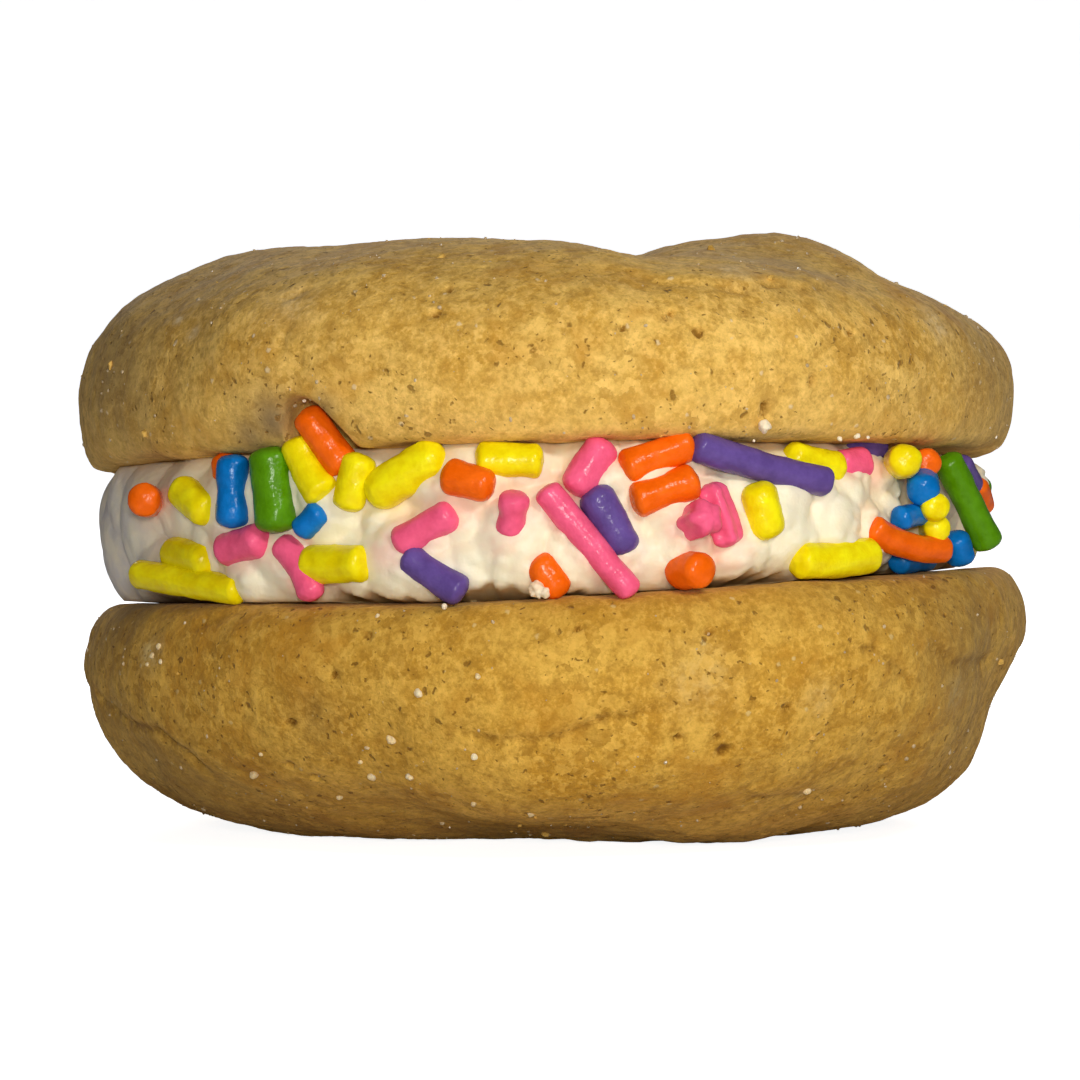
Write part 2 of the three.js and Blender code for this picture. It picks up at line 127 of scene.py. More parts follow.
# Each patch of pale flour, or of painted shade in dull grey-brown: turn, height, radius and strength.
BOTTOM_PALE = [
    (-52.4, 13.2, 1, 0.8), (-50.6, 13.8, 0.5, 0.7), (51.2, 10.7, 1.2, 0.6), (29, 10.6, 1.2, 0.3),
    (15, 12, 2.2, 0.3), (33, 4.3, 0.6, 0.7),
]
TOP_PALE = [
    (51, 35.4, 1.3, 0.5), (-43.5, 34.3, 0.5, 0.8), (-47.6, 35.4, 0.4, 0.8), (22, 38, 1.3, 0.35),
    (-30, 36, 2, 0.25),
]
# Painted shade: dull grey-brown patches by the notch, down the sides and over the top.
BOTTOM_PAINTED_SHADE = [
    (-27.5, 9.3, 2.2, 0.3), (-62, 16, 3, 0.6), (-55, 5, 5, 0.4), (52, 13, 6, 0.5),
    (-66, 8, 5, 0.25),
]
TOP_PAINTED_SHADE = [
    (-31, 28.2, 1.9, 0.9), (-34.5, 27.3, 1.5, 0.7), (-24.5, 29, 1, 0.5), (-58, 32, 5, 0.45),
    (62, 33, 5, 0.35), (32, 39, 5, 0.3),
]

# ---- Sprinkles of the front ----

# Colour, turn, height over the bottom cookie's flat side, lean from level, length and diameter, then what
# is special about it: tip (degrees that it leans out), out (how much further out it lies), bend (how far
# its middle is bowed sideways), waist (how much thinner its middle is), knobbly (1 where it is knobbly).
FRONT_SPRINKLES = [
    ("orange", -54.2, 6.9, 0, 4.4, 2.2, {"tip": 34}),
    ("yellow", -45.4, 6.8, -27, 4.2, 2.3, {}),
    ("blue", -39, 7.3, 90, 4.8, 2.2, {"waist": 0.14}),
    ("orange", -41.6, 8.3, -80, 3.2, 1.8, {"out": -0.5}),
    ("green", -33, 7.3, -84, 5.6, 2.8, {}),
    ("yellow", -28.4, 8.7, -60, 4.5, 2.4, {"bend": 0.2}),
    ("orange", -26.5, 10.4, -58, 4.8, 2.2, {"tip": -16, "out": 0.8}),
    ("yellow", -23.1, 7.7, 74, 3.8, 2.2, {}),
    ("yellow", -16.9, 8.2, 30, 5.9, 2.7, {}),
    ("orange", -9.3, 7.7, -16, 3.5, 2.2, {"tip": 6}),
    ("yellow", -4.9, 9, -2, 4.3, 2.3, {}),
    ("pink", -14.4, 4.7, 29, 4.6, 2.1, {}),
    ("purple", -13.3, 1.8, -33, 4.7, 2, {}),
    ("pink", -4.4, 5.6, 80, 2.9, 1.9, {"tip": 25, "waist": 0.08}),
    ("pink", 4.2, 8.6, 57, 4, 2.3, {}),
    ("pink", 3.9, 3.9, -50, 8.8, 1.8, {}),
    ("purple", 6.4, 5.2, -60, 4.7, 2.3, {}),
    ("orange", 11.9, 9.3, 20, 5.1, 2.2, {}),
    ("orange", 12.6, 7.1, 19, 4.6, 2.3, {}),
    ("pink", 15.9, 5.2, 40, 3, 2.5, {"tip": 72, "knobbly": 1}),
    ("pink", 19, 5.6, -70, 4.2, 2.2, {"knobbly": 1}),
    ("yellow", 24.3, 5.9, -74, 3.8, 2.3, {}),
    ("orange", 15.3, 2.1, 0, 3.3, 2.4, {"tip": 72}),
    ("purple", 24.5, 8.9, -12.5, 10.3, 2, {"bend": 0.15, "out": 0.7}),
    ("yellow", 33.5, 9.2, -10, 4.7, 2.1, {}),
    ("pink", 40.1, 9.2, 5, 3, 2.1, {}),
    ("purple", 44.9, 10.3, 11, 3.2, 1.7, {}),
    ("yellow", 45.9, 9.4, 0, 4.6, 2.2, {"tip": -45}),
    ("orange", 51.7, 9.4, 0, 4, 1.9, {"tip": -40}),
    ("blue", 48.9, 7.9, 29, 3.2, 2.2, {"tip": -30}),
    ("green", 61.9, 7, -62, 7.5, 2.1, {"tip": 16}),
    ("purple", 65.5, 9, -26, 3.6, 1.7, {}),
    ("orange", 71, 7.6, -31, 3.3, 1.6, {}),
    ("yellow", 50.4, 6.4, 0, 3.8, 1.9, {"tip": -40}),
    ("yellow", 52.3, 5, 0, 3.8, 1.8, {"tip": -38, "out": -0.4}),
    ("blue", 47.4, 5.8, 8, 3.2, 1.6, {}),
    ("orange", 46.6, 4.4, -11, 7.3, 1.9, {"tip": 10, "bend": 0.6}),
    ("blue", 52.9, 2.9, 5, 4.8, 1.7, {}),
    ("blue", 61.5, 3.8, -60, 2.5, 2, {}),
    ("yellow", 35.1, 3, 4, 7, 2.4, {"bend": 0.15}),
    ("orange", -0.4, 1.7, -53, 3, 2.1, {}),
    ("yellow", -25.5, 2.5, 0, 5.2, 2.5, {"tip": 10}),
    ("pink", -30.8, 2.1, -54, 4.7, 1.9, {"bend": -0.4}),
    ("pink", -37.7, 3.8, 11, 4.2, 2.3, {}),
    ("blue", -28.4, 5.3, 41, 2.5, 1.7, {}),
    ("yellow", -48.9, 3.1, -6.5, 5.4, 2.5, {}),
    ("yellow", -48.1, 1.4, -7, 10.3, 2, {"tip": -10, "out": 0.7}),
]
COLOURS = ["yellow", "orange", "pink", "purple", "blue", "green"]
# How much each colour bleeds into the ice cream, and what it dyes it.
BLEED_STRENGTH = {"yellow": 0.08, "orange": 0.55, "pink": 0.7, "purple": 0.25, "blue": 0.3, "green": 0.2}
BLEED_COLOUR = {
    "yellow": (0.92, 0.74, 0.3),
    "orange": (0.93, 0.52, 0.3),
    "pink": (0.92, 0.45, 0.36),
    "purple": (0.6, 0.52, 0.6),
    "blue": (0.42, 0.52, 0.55),
    "green": (0.55, 0.62, 0.3),
}

# At one end the ice cream is smooth and painted greyer as shade: middle turn and half width in degrees,
# strength and colour of the painted shade.
GREY_END, GREY_SHADE_STRENGTH, GREY_SHADE_COLOUR = (-80, 27), 0.8, (0.6, 0.55, 0.56)
# Gaps under the ice cream's foot at the front: turn, half width in degrees and height.
FOOT_GAPS = [
    (-57, 7, 1.1), (-24, 4.5, 0.6), (-18, 2, 0.35), (-9, 3, 0.95), (-4.5, 2.5, 0.7), (2, 2, 0.5),
    (24, 6, 0.75), (43, 10, 1),
]

# The rest of the edge, filled by the same rule as the solids.
REST_TRIES, REST_SHORTEST, REST_SPREAD = 4000, 3.4, 6
REST_COUNT, REST_FROM, REST_TO, REST_CLEAR, REST_EDGE = 54, 94, 252, 2.1, 1.4
TURN_SHARE, HEIGHT_SHARE, LEAN_SHARE, LENGTH_SHARE = 0.6180339887, 0.5698402909, 0.7548776662, 0.4301597092
TIPPED_EVERY, TIPPED_BY = 6, 40
COLOUR_ROUND = [
    "yellow", "pink", "orange", "blue", "yellow", "purple", "green", "orange", "pink",
]

# Flecks of ice cream that stick to the dough and the sprinkles: turn, height, how far out, and radius.
CREAM_FLECKS = [
    (23.4, 27.8, 33.9, 0.4), (22.6, 26.9, 33.2, 0.13), (33.6, 27.2, 33.5, 0.16),
    (36.1, 27.4, 33.5, 0.2), (38, 27.4, 33.4, 0.12), (-11.6, 16.4, 33.6, 0.2),
    (-27.7, 29.5, 34, 0.16), (-1.7, 17.5, 33, 0.55), (-0.9, 17.3, 33.1, 0.36),
]
FLECK_BLEED = 0.5
# Pale chips baked into the front of the bottom cookie: their tint and how strong it is, then turn, height
# and radius.
CHIP_COLOUR, CHIP_BLEED = (0.86, 0.63, 0.34), 2.5
DOUGH_CHIPS = [
    (-18.1, 8, 0.3), (-22.3, 5.5, 0.27), (-22.9, 6.5, 0.16), (-16.8, 5.6, 0.27), (-8.4, 7, 0.22),
    (-39.2, 5.4, 0.3), (-14.2, 11, 0.26), (-7.7, 12.1, 0.2), (-35.8, 6.8, 0.17),
    (-19.4, 15.8, 0.17), (-51.8, 13.1, 0.2), (-50.4, 13.7, 0.22), (-49.8, 12.7, 0.16),
    (-52.6, 12.5, 0.13), (-29.9, 3.9, 0.2), (-9.5, 3.9, 0.2), (-2.7, 3.2, 0.24), (33, 4.4, 0.24),
]

# ---- Settings ----


def colour_setting(name, description, default):
    limits = {"subtype": "COLOR", "size": 3, "min": 0, "max": 1}
    return FloatVectorProperty(name=name, description=description, default=default, **limits)


def number_setting(name, description, default, **limits):
    return FloatProperty(name=name, description=description, default=default, **limits)


def length_setting(name, description, default):
    return number_setting(name, description, default, unit="LENGTH", min=0, precision=5)


def share_setting(name, description, default):
    return number_setting(name, description, default, min=0, max=1)


def power_setting(name, description, default):
    return number_setting(name, description, default, unit="POWER")


class DoughSettings(bpy.types.PropertyGroup):
    """Shape and colour of the baked dough."""

    pale: colour_setting("Pale dough", "Colour of the paler patches", (0.76, 0.475, 0.112))
    golden: colour_setting("Golden dough", "Colour of the darker patches", (0.6, 0.33, 0.052))
    browned: colour_setting("Browned dough", "Colour of toasted patches", (0.54, 0.25, 0.026))
    # Painted shade: the colour laid into pores and creases, where shade falls in them.
    shade: colour_setting("Pores", "Colour inside pores and creases", (0.19, 0.082, 0.007))
    flour: colour_setting("Flour", "Colour of pale specks and smears", (0.78, 0.6, 0.34))
    # Painted shade: the dull grey-brown of the shaded patches.
    smudge: colour_setting("Smudges", "Colour of dull grey-brown patches", (0.24, 0.16, 0.08))
    bottom_tone: colour_setting("Bottom tone", "Multiplies the bottom cookie's colours", (0.92, 0.86, 0.6))
    top_tone: colour_setting("Top tone", "Multiplies the top cookie's colours", (1, 1, 1))
    mesh_size: length_setting("Mesh size", "Side of the faces", 0.00035)
    lump_height: length_setting("Lump height", "Height of soft lumps in the skin", 0.0002)
    lump_size: length_setting("Lump size", "Width of the soft lumps", 0.005)
    crumb_height: length_setting("Crumb height", "Height of the crumb in the skin", 0.00009)
    crumb_size: length_setting("Crumb size", "Width of the crumb", 0.0015)
    seed: IntProperty(name="Seed", description="Picks the creases of the back", default=3)


class CreamSettings(bpy.types.PropertyGroup):
    """Shape and colour of the ice cream."""

    white: colour_setting("Ice cream", "Colour of the open surface", (1.0, 0.89, 0.67))
    # Painted shade: the darker tan laid deep between the lumps.
    hollow: colour_setting("Creases", "Colour deep between the lumps", (0.74, 0.52, 0.27))
    # Painted shade: the dark colour laid in the gaps under the foot.
    shade: colour_setting("Foot gaps", "Colour in the gaps under the foot", (0.3, 0.2, 0.08))
    # Also sets how strongly the grey end's painted shade shows.
    bleed: share_setting("Bleed", "How strongly the sprinkles dye the ice cream", 0.85)
    rough_height: length_setting("Roughness", "Height of the fine unevenness", 0.00009)
    rough_size: length_setting("Roughness size", "Width of the fine unevenness", 0.0013)
    rim_height: length_setting("Rim height", "How far ice cream rises round a sprinkle", 0.00022)


class SprinkleSettings(bpy.types.PropertyGroup):
    """Colours and finish of the sprinkles."""

    yellow: colour_setting("Yellow", "Colour of the yellow sprinkles", (1.0, 0.78, 0.0))
    orange: colour_setting("Orange", "Colour of the orange sprinkles", (1.0, 0.138, 0.0))
    pink: colour_setting("Pink", "Colour of the pink sprinkles", (1.0, 0.115, 0.25))
    purple: colour_setting("Purple", "Colour of the purple sprinkles", (0.125, 0.07, 0.29))
    blue: colour_setting("Blue", "Colour of the blue sprinkles", (0.0, 0.17, 0.55))
    green: colour_setting("Green", "Colour of the green sprinkles", (0.095, 0.28, 0.0))
    roughness: share_setting("Roughness", "How dull the waxy surface is", 0.24)
    dimple: length_setting("Dimples", "Depth of the unevenness of a sprinkle", 0.0001)


class GrainSettings(bpy.types.PropertyGroup):
    """Sugar grains and crumbs on the cookies."""

    sugar: colour_setting("Sugar", "Colour of the sugar grains", (0.66, 0.5, 0.29))
    grain_size: length_setting("Grain size", "Width of a large sugar grain", 0.0003)
    grain_density: number_setting("Grains", "Sugar grains on a square metre", 130000)
    crumb_size: length_setting("Crumb size", "Width of a loose crumb", 0.00055)
    crumb_density: number_setting("Crumbs", "Crumbs on a square metre", 9000)


class StageSettings(bpy.types.PropertyGroup):
    """Floor, lamps and camera."""

    lens: number_setting("Lens", "Focal length on a 36 mm sensor", 89.07, unit="CAMERA")
    tilt: number_setting("Tilt", "How far the camera looks up", math.radians(1.29), subtype="ANGLE")
    key_power: power_setting("Key lamp", "Power of the lamp by the camera", 0.136)
    side_power: power_setting("Side lamp", "Power of the close lamp at the upper right", 0.049)
    ambient: number_setting("Room light", "Strength of the light from all round", 0.075)
    left_power: power_setting("Left lamp", "Power of the lamp behind on the left", 0.46)
    right_power: power_setting("Right lamp", "Power of the lamp behind on the right", 0.46)


# ---- Node trees ----


def feed(node, inputs):
    """Sets a node's inputs, by name or place, to values or wires."""
    for place, value in inputs.items():
        if isinstance(value, Wire):
            value.tree.links.new(value.socket, node.inputs[place])
        else:
            node.inputs[place].default_value = value


class Node:
    """A new node with its own settings. Its outputs are fetched as wires, by name or place."""

    def __init__(self, tree, kind, inputs=None, **settings):
        self.tree, self.node = tree, tree.nodes.new(kind)
        for name, value in settings.items():
            setattr(self.node, name, value)
        feed(self.node, inputs or {})

    def __getitem__(self, place):
        return Wire(self.tree, self.node.outputs[place])


def one(tree, kind, inputs=None, **settings):
    """Adds a node and gives its first output."""
    return Node(tree, kind, inputs, **settings)[0]


def calc(tree, operation, *values):
    return one(tree, "ShaderNodeMath", dict(enumerate(values)), operation=operation)


class Wire:
    """An output of a node. Arithmetic and textures of it add further nodes to its tree."""

    def __init__(self, tree, socket):
        self.tree, self.socket = tree, socket

    def __add__(self, other):
        return calc(self.tree, "ADD", self, other)

    def __sub__(self, other):
        return calc(self.tree, "SUBTRACT", self, other)

    def __mul__(self, other):
        return calc(self.tree, "MULTIPLY", self, other)

    def __truediv__(self, other):
        return calc(self.tree, "DIVIDE", self, other)

    def __pow__(self, other):
        return calc(self.tree, "POWER", self, other)

    def line(self, slope, start):
        return calc(self.tree, "MULTIPLY_ADD", self, slope, start)

    def vector(self, operation, other):
        inputs = {0: self, "Scale" if operation == "SCALE" else 1: other}
        return one(self.tree, "ShaderNodeVectorMath", inputs, operation=operation)

    def remap(self, low, high, to_low=0.0, to_high=1.0):
        ends = {"From Min": low, "From Max": high, "To Min": to_low, "To Max": to_high}
        return one(self.tree, "ShaderNodeMapRange", {"Value": self, **ends}, clamp=True)

    def noise(self, size, detail=2.0, roughness=0.5):
        """Soft noise from 0 to 1 at this place, whose lumps are about this size in metres."""
        scale = calc(self.tree, "DIVIDE", 1.0, size)
        inputs = {"Vector": self, "Scale": scale, "Detail": detail, "Roughness": roughness}
        return one(self.tree, "ShaderNodeTexNoise", inputs)

    def moved(self, size, reach):
        """This place moved about by soft noise of a size, by up to half the reach."""
        inputs = {"Vector": self, "Scale": 1 / size, "Detail": 2.0}
        wander = Node(self.tree, "ShaderNodeTexNoise", inputs)["Color"].vector("SUBTRACT", (0.5, 0.5, 0.5))
        return self.vector("ADD", wander.vector("SCALE", reach))

    def cells(self, size):
        """Cells of about this size: gives the distance from their middles and their random values."""
        inputs = {"Vector": self, "Scale": calc(self.tree, "DIVIDE", 1.0, size)}
        cells = Node(self.tree, "ShaderNodeTexVoronoi", inputs)
        return cells["Distance"], Node(self.tree, "ShaderNodeSeparateColor", {0: cells["Color"]})


def spots(distance, width, there):
    """Soft-edged spots of a width, in the cells where they are there."""
    return (distance / width).remap(0.7, 1.3, 1.0, 0.0) * there


def tint(factor, a, b, how="MIX"):
    """Mixes two colours. Each is a wire, or red, green and blue. The factor or the first is a wire."""
    tree = (factor if isinstance(factor, Wire) else a).tree
    a, b = (c if isinstance(c, Wire) else (*c, 1.0) for c in (a, b))
    return Node(tree, "ShaderNodeMix", {0: factor, 6: a, 7: b}, data_type="RGBA", blend_type=how)[2]


def layered(colour, layers):
    """A colour with others laid over it one after another, each by its own factor."""
    for factor, over in layers:
        colour = tint(factor, colour, over)
    return colour


def group_with(kind, name, inputs, outputs):
    """A node group with its named sockets, as {name: (socket type, default)}, and its input node."""
    tree = bpy.data.node_groups.new(name, kind)
    for side, sockets in (("INPUT", inputs), ("OUTPUT", outputs)):
        for socket_name, (socket_type, default) in sockets.items():
            item = tree.interface.new_socket(socket_name, in_out=side, socket_type=socket_type)
            if default is not None:
                item.default_value = default
    return tree, Node(tree, "NodeGroupInput")


def numbers(defaults):
    return {name: ("NodeSocketFloat", value) for name, value in defaults.items()}


def shape_tree(name, inputs):
    """A geometry node group with a Geometry and a Material input besides its own number inputs."""
    shape = {"Geometry": ("NodeSocketGeometry", None)}
    sockets = {**shape, "Material": ("NodeSocketMaterial", None), **numbers(inputs)}
    return group_with("GeometryNodeTree", name, sockets, shape)


def named(tree, name, kind="FLOAT"):
    """A value that the mesh carries for each point."""
    return one(tree, "GeometryNodeInputNamedAttribute", {"Name": name}, data_type=kind)


def pushed(shape, push, stretch=(1.0, 1.0, 1.0)):
    """Moves a shape's points along their normals. The stretch weakens a direction."""
    normal = one(shape.tree, "GeometryNodeInputNormal").vector("MULTIPLY", stretch)
    inputs = {"Geometry": shape, "Offset": normal.vector("SCALE", push)}
    return one(shape.tree, "GeometryNodeSetPosition", inputs)


def end_tree(shape, given, smooth=True):
    """Ends a geometry tree in Realize Instances, smooth shading where it is wanted, and Set Material."""
    tree = shape.tree
    shape = one(tree, "GeometryNodeRealizeInstances", {0: shape})
    if smooth:
        shape = one(tree, "GeometryNodeSetShadeSmooth", {"Geometry": shape})
    shape = one(tree, "GeometryNodeSetMaterial", {"Geometry": shape, "Material": given["Material"]})
    feed(tree.nodes.new("NodeGroupOutput"), {"Geometry": shape})
    return tree


def run_tree(piece, tree, values):
    """Puts a geometry tree on a piece with its inputs, then turns the result into a plain mesh."""
    modifier = piece.modifiers.new(tree.name, "NODES")
    modifier.node_group = tree
    for item in tree.interface.items_tree:
        if item.in_out == "INPUT" and item.name in values:
            modifier[item.identifier] = values[item.name]
    settle(piece)


def settle(piece):
    """Turns a piece with live modifiers into a plain mesh."""
    depsgraph = bpy.context.evaluated_depsgraph_get()
    final = piece.evaluated_get(depsgraph)
    mesh = bpy.data.meshes.new_from_object(final, preserve_all_data_layers=True, depsgraph=depsgraph)
    piece.modifiers.clear()
    piece.data = mesh


# ---- Meshes ----


def new_piece(name, mesh):
    piece = bpy.data.objects.new(name, mesh)
    bpy.context.scene.collection.objects.link(piece)
    return piece


def mesh_of(name, points, faces=(), edges=()):
    """A mesh from points in millimetres."""
    mesh = bpy.data.meshes.new(name)
    mesh.from_pydata((np.asarray(points) * MM).tolist(), edges, faces)
    return mesh


def points_of(mesh):
    """A mesh's points in millimetres."""
    flat = np.empty(len(mesh.vertices) * 3, np.float32)
    mesh.vertices.foreach_get("co", flat)
    return flat.reshape(-1, 3).astype(float) / MM


def keep_values(mesh, name, values, kind="FLOAT"):
    """Stores one value for each point of a mesh."""
    values = np.asarray(values).astype(bool if kind == "BOOLEAN" else np.float32)
    mesh.attributes.new(name, kind, "POINT").data.foreach_set("value", values)


def keep_colours(mesh, name, colours):
    """Stores one colour for each point of a mesh."""
    filled = np.column_stack([colours, np.ones(len(colours))]).astype(np.float32)
    mesh.attributes.new(name, "FLOAT_COLOR", "POINT").data.foreach_set("color", filled.ravel())


def outward(turn):
    """Level unit vectors away from the axis, for turns in radians."""
    turn = np.asarray(turn, float)
    return np.stack([np.sin(turn), -np.cos(turn), np.zeros_like(turn)], -1)


def onward(turn):
    """Level unit vectors along the edge, for turns in radians."""
    turn = np.asarray(turn, float)
    return np.stack([np.cos(turn), np.sin(turn), np.zeros_like(turn)], -1)


def fraction(x):
    return x - math.floor(x)


def bell(distance, width, power=2):
    """1 at no distance, falling off to 0 past the width."""
    return np.exp(-((distance / width) ** power))


def wrapped(angle):
    """An angle in radians brought between half a turn back and half a turn on."""
    return (angle + math.pi) % (2 * math.pi) - math.pi


def hump(turns, middle, width, power=2):
    """A bell along turns in radians, with its middle and its width in degrees."""
    return bell(wrapped(turns - math.radians(middle)), math.radians(width), power)


def lower_face(x):
    """The height of the bottom cookie's flat side, which curls up towards the right."""
    along = np.maximum(0, np.asarray(x, float) - CURL_START) / (COOKIE_RADIUS - CURL_START)
    return LOWER_FACE + CURL_RISE * along**CURL_POWER


def upper_face(x):
    return UPPER_FACE + TOP_SLOPE * np.asarray(x, float)


def finish_piece(piece, nodes):
    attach(piece, "root")
    if nodes:
        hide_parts(*nodes)


# ---- Cookies ----


def smooth_copy(node, name, mesh_size):
    """A copy of a cookie's solid with its facets smoothed away and small even faces."""
    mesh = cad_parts[node].data.copy()
    merged = bmesh.new()
    merged.from_mesh(mesh)
    bmesh.ops.remove_doubles(merged, verts=merged.verts, dist=1e-6)
    merged.to_mesh(mesh)
    merged.free()
    mesh.materials.clear()
    piece = new_piece(name, mesh)
    rounded = piece.modifiers.new("rounded", "SUBSURF")
    rounded.levels = rounded.render_levels = 2
    even = piece.modifiers.new("even", "REMESH")
    even.mode = "VOXEL"
    even.voxel_size = mesh_size
    relaxed = piece.modifiers.new("relaxed", "SMOOTH")
    relaxed.factor, relaxed.iterations = 0.5, 6
    settle(piece)
    return piece


# How far from the axis the rays start that look for a place on a cookie's side.
RAY_START = 60


def on_side(tree, turn, height):
    """The place on a cookie's side at a turn and a height, in millimetres."""
    away = outward(math.radians(turn))
    start = Vector(away * RAY_START * MM) + Vector((0, 0, height * MM))
    hit = tree.ray_cast(start, Vector(-away))[0]
    return None if hit is None else np.array(hit) / MM


def crease_path(tree, places):
    """Points half a millimetre apart along a crease on the cookie's side."""
    corners = [on_side(tree, *place) for place in places]
    corners = [c for c in corners if c is not None]
    path = []
    for a, b in zip(corners, corners[1:]):
        steps = max(1, int(np.linalg.norm(b - a) / 0.5))
        path += [a + (b - a) * i / steps for i in range(steps)]
    return np.array(path + corners[-1:])


def back_creases(seed, low, high):
    """Creases round the sides and the back, that run on from each other by irrational shares."""
    creases = []
    for i in range(BACK_CREASES):
        k = i + 7 * seed
        turn = BACK_FROM + (BACK_TO - BACK_FROM) * fraction(k * TURN_SHARE)
        height = low + (high - low) * fraction(k * HEIGHT_SHARE)
        slope = 2.4 * (fraction(k * LEAN_SHARE) - 0.5)
        steps = 3 + int(6 * fraction(k * LENGTH_SHARE))
        places = [
            (turn + 3.2 * j, height + slope * j / 2 + 0.5 * math.sin(2.1 * j + k))
            for j in range(steps)
        ]
        width = 0.45 + 0.5 * fraction(k * LEAN_SHARE * 3)
        creases.append((width, BACK_DEPTH, 0.25 * fraction(k * TURN_SHARE * 5), places))
    return creases


def marks_at(tree, points, rows, power, most=1):
    """How strongly round marks show at each point. A row ends in its radius or in its own strength."""
    strength = np.zeros(len(points))
    for turn, height, radius, *own in rows:
        place = on_side(tree, turn, height)
        if place is not None:
            distance = np.linalg.norm(points - place, axis=1)
            strength = np.maximum(strength, (own or [most])[0] * bell(distance, radius, power))
    return strength


def mark_dough(piece, creases, pits, pale, shaded_patches, flat_side, flat_height):
    """Stores what each point of the dough carries: how deep it lies in a crease or a pit, how far it is
    folded out, its pale patches and its patches of painted shade, how near the flat side it is and where it
    is open."""
    mesh = piece.data
    points = points_of(mesh)
    tree = BVHTree.FromObject(piece, bpy.context.evaluated_depsgraph_get())
    crack = np.zeros(len(points))
    fold = np.zeros(len(points))
    for width, depth, lip, places in creases:
        path = crease_path(tree, places)
        if len(path) < 2:
            continue
        middle = path.mean(0)
        reach = 5 + np.linalg.norm(path - middle, axis=1).max()
        near = np.flatnonzero(np.linalg.norm(points - middle, axis=1) < reach)
        apart = points[near, None, :] - path[None, :, :]
        away = np.linalg.norm(apart, axis=2)
        closest = away.argmin(1)
        each = np.arange(len(near))
        distance, over = away[each, closest], apart[each, closest, 2]
        end = np.minimum(closest, len(path) - 1 - closest) / 4
        taper = np.clip(0.35 + end, 0, 1)
        crack[near] = np.maximum(crack[near], taper * depth * bell(distance, width))
        fold[near] += taper * lip * np.tanh(over / 0.5) * bell(distance, 2.4)
    crack = np.maximum(crack, marks_at(tree, points, pits, 4, PIT_DEPTH))
    above = (points[:, 2] - flat_height(points[:, 0])) * flat_side
    out = np.linalg.norm(points[:, :2], axis=1)
    keep_values(mesh, "pale", marks_at(tree, points, pale, 2))
    keep_values(mesh, "smudge", marks_at(tree, points, shaded_patches, 2))
    keep_values(mesh, "crack", crack)
    keep_values(mesh, "fold", fold)
    keep_values(mesh, "edge", np.clip(1 - np.abs(above - 0.5) / 4.5, 0, 1))
    keep_values(mesh, "open", np.clip((out - CREAM_RADIUS + 3) / 3, 0, 1) + (above > 1.5))


def dough_relief_tree():
    """Raises lumps and crumb on a cookie's skin and sinks its creases and pits."""
    sizes = {"Lump Height": 0.0002, "Lump Size": 0.006, "Crumb Height": 0.0001, "Crumb Size": 0.0012}
    tree, given = shape_tree("dough_relief", {**sizes, "Seed": 0.0})
    place = one(tree, "GeometryNodeInputPosition").vector("ADD", given["Seed"])
    raised = (place.noise(given["Lump Size"], 1.0) - 0.5) * (given["Lump Height"] * 3.0)
    rough = (place.noise(given["Crumb Size"], 2.0, 0.6) - 0.5) * (given["Crumb Height"] * 3.0)
    skin = (raised + rough) * calc(tree, "MINIMUM", named(tree, "open"), 1.0)
    broken = place.noise(0.0022, 1.0).remap(0.35, 0.65, 0.4, 1.2)
    sunk = named(tree, "crack") * broken * MM
    moved = pushed(given["Geometry"], skin - sunk + named(tree, "fold") * MM)
    # What would reach under the table is pressed flat on it.
    parts = Node(tree, "ShaderNodeSeparateXYZ", {0: one(tree, "GeometryNodeInputPosition")})
    level = calc(tree, "MAXIMUM", parts[2], 0.0)
    pressed = one(tree, "ShaderNodeCombineXYZ", {0: parts[0], 1: parts[1], 2: level})
    rested = one(tree, "GeometryNodeSetPosition", {"Geometry": moved, "Position": pressed})
    return end_tree(rested, given)


def grain_group():
    """Patches, mottling, grit, flakes, pores and pale flecks of baked dough, and its finest relief."""
    sizes = {"Patch Size": 0.004, "Mottle Size": 0.0016, "Flake Size": 0.0008, "Pore Size": 0.0011}
    sockets = {"Place": ("NodeSocketVector", None), **numbers(sizes), **numbers({"Pore Share": 0.3})}
    parts = ("Patch", "Mottle", "Grit", "Flake", "Pore", "Fleck", "Height")
    tree, given = group_with("ShaderNodeTree", "dough_grain", sockets, numbers(dict.fromkeys(parts)))
    place = given["Place"]
    patch = place.noise(given["Patch Size"], 3.0, 0.6)
    mottle = place.noise(given["Mottle Size"], 3.0, 0.75)
    grit = place.noise(0.00035, 2.0, 0.7)
    # Pores lie in loose clusters, and each has its own width.
    cluster = place.noise(0.007, 2.0).remap(0.42, 0.6)
    share = given["Pore Share"] * cluster.line(0.9, 0.06)
    crooked = place.moved(0.0006, 0.0009)
    pores = []
    for stretch in (1.0, 0.55):
        distance, pick = crooked.cells(given["Pore Size"] * stretch)
        width = (pick[1] ** 2.0).line(0.15, 0.08)
        pores.append(spots(distance, width, calc(tree, "LESS_THAN", pick[0], share)))
    pore = calc(tree, "MAXIMUM", *pores)
    # Flakes of crumb are cells of one tone each, clearer where the pores are.
    _, pick = place.moved(0.0005, 0.0009).cells(given["Flake Size"])
    flake = (pick[0] - 0.5).line(cluster.line(0.6, 0.4), 0.5)
    distance, pick = place.moved(0.0003, 0.0003).cells(0.00095)
    fleck = spots(distance, pick[1].line(0.12, 0.07), calc(tree, "GREATER_THAN", pick[0], 0.8))
    height = flake.line(0.5, fleck.line(0.3, grit.line(0.5, mottle))) - pore
    results = dict(zip(parts, (patch, mottle, grit, flake, pore, fleck, height)))
    feed(tree.nodes.new("NodeGroupOutput"), results)
    return tree


def new_material(name):
    """An empty material: gives it, its tree and the object coordinates."""
    material = bpy.data.materials.new(name)
    material.use_nodes = True
    return material, material.node_tree, Node(material.node_tree, "ShaderNodeTexCoord")["Object"]


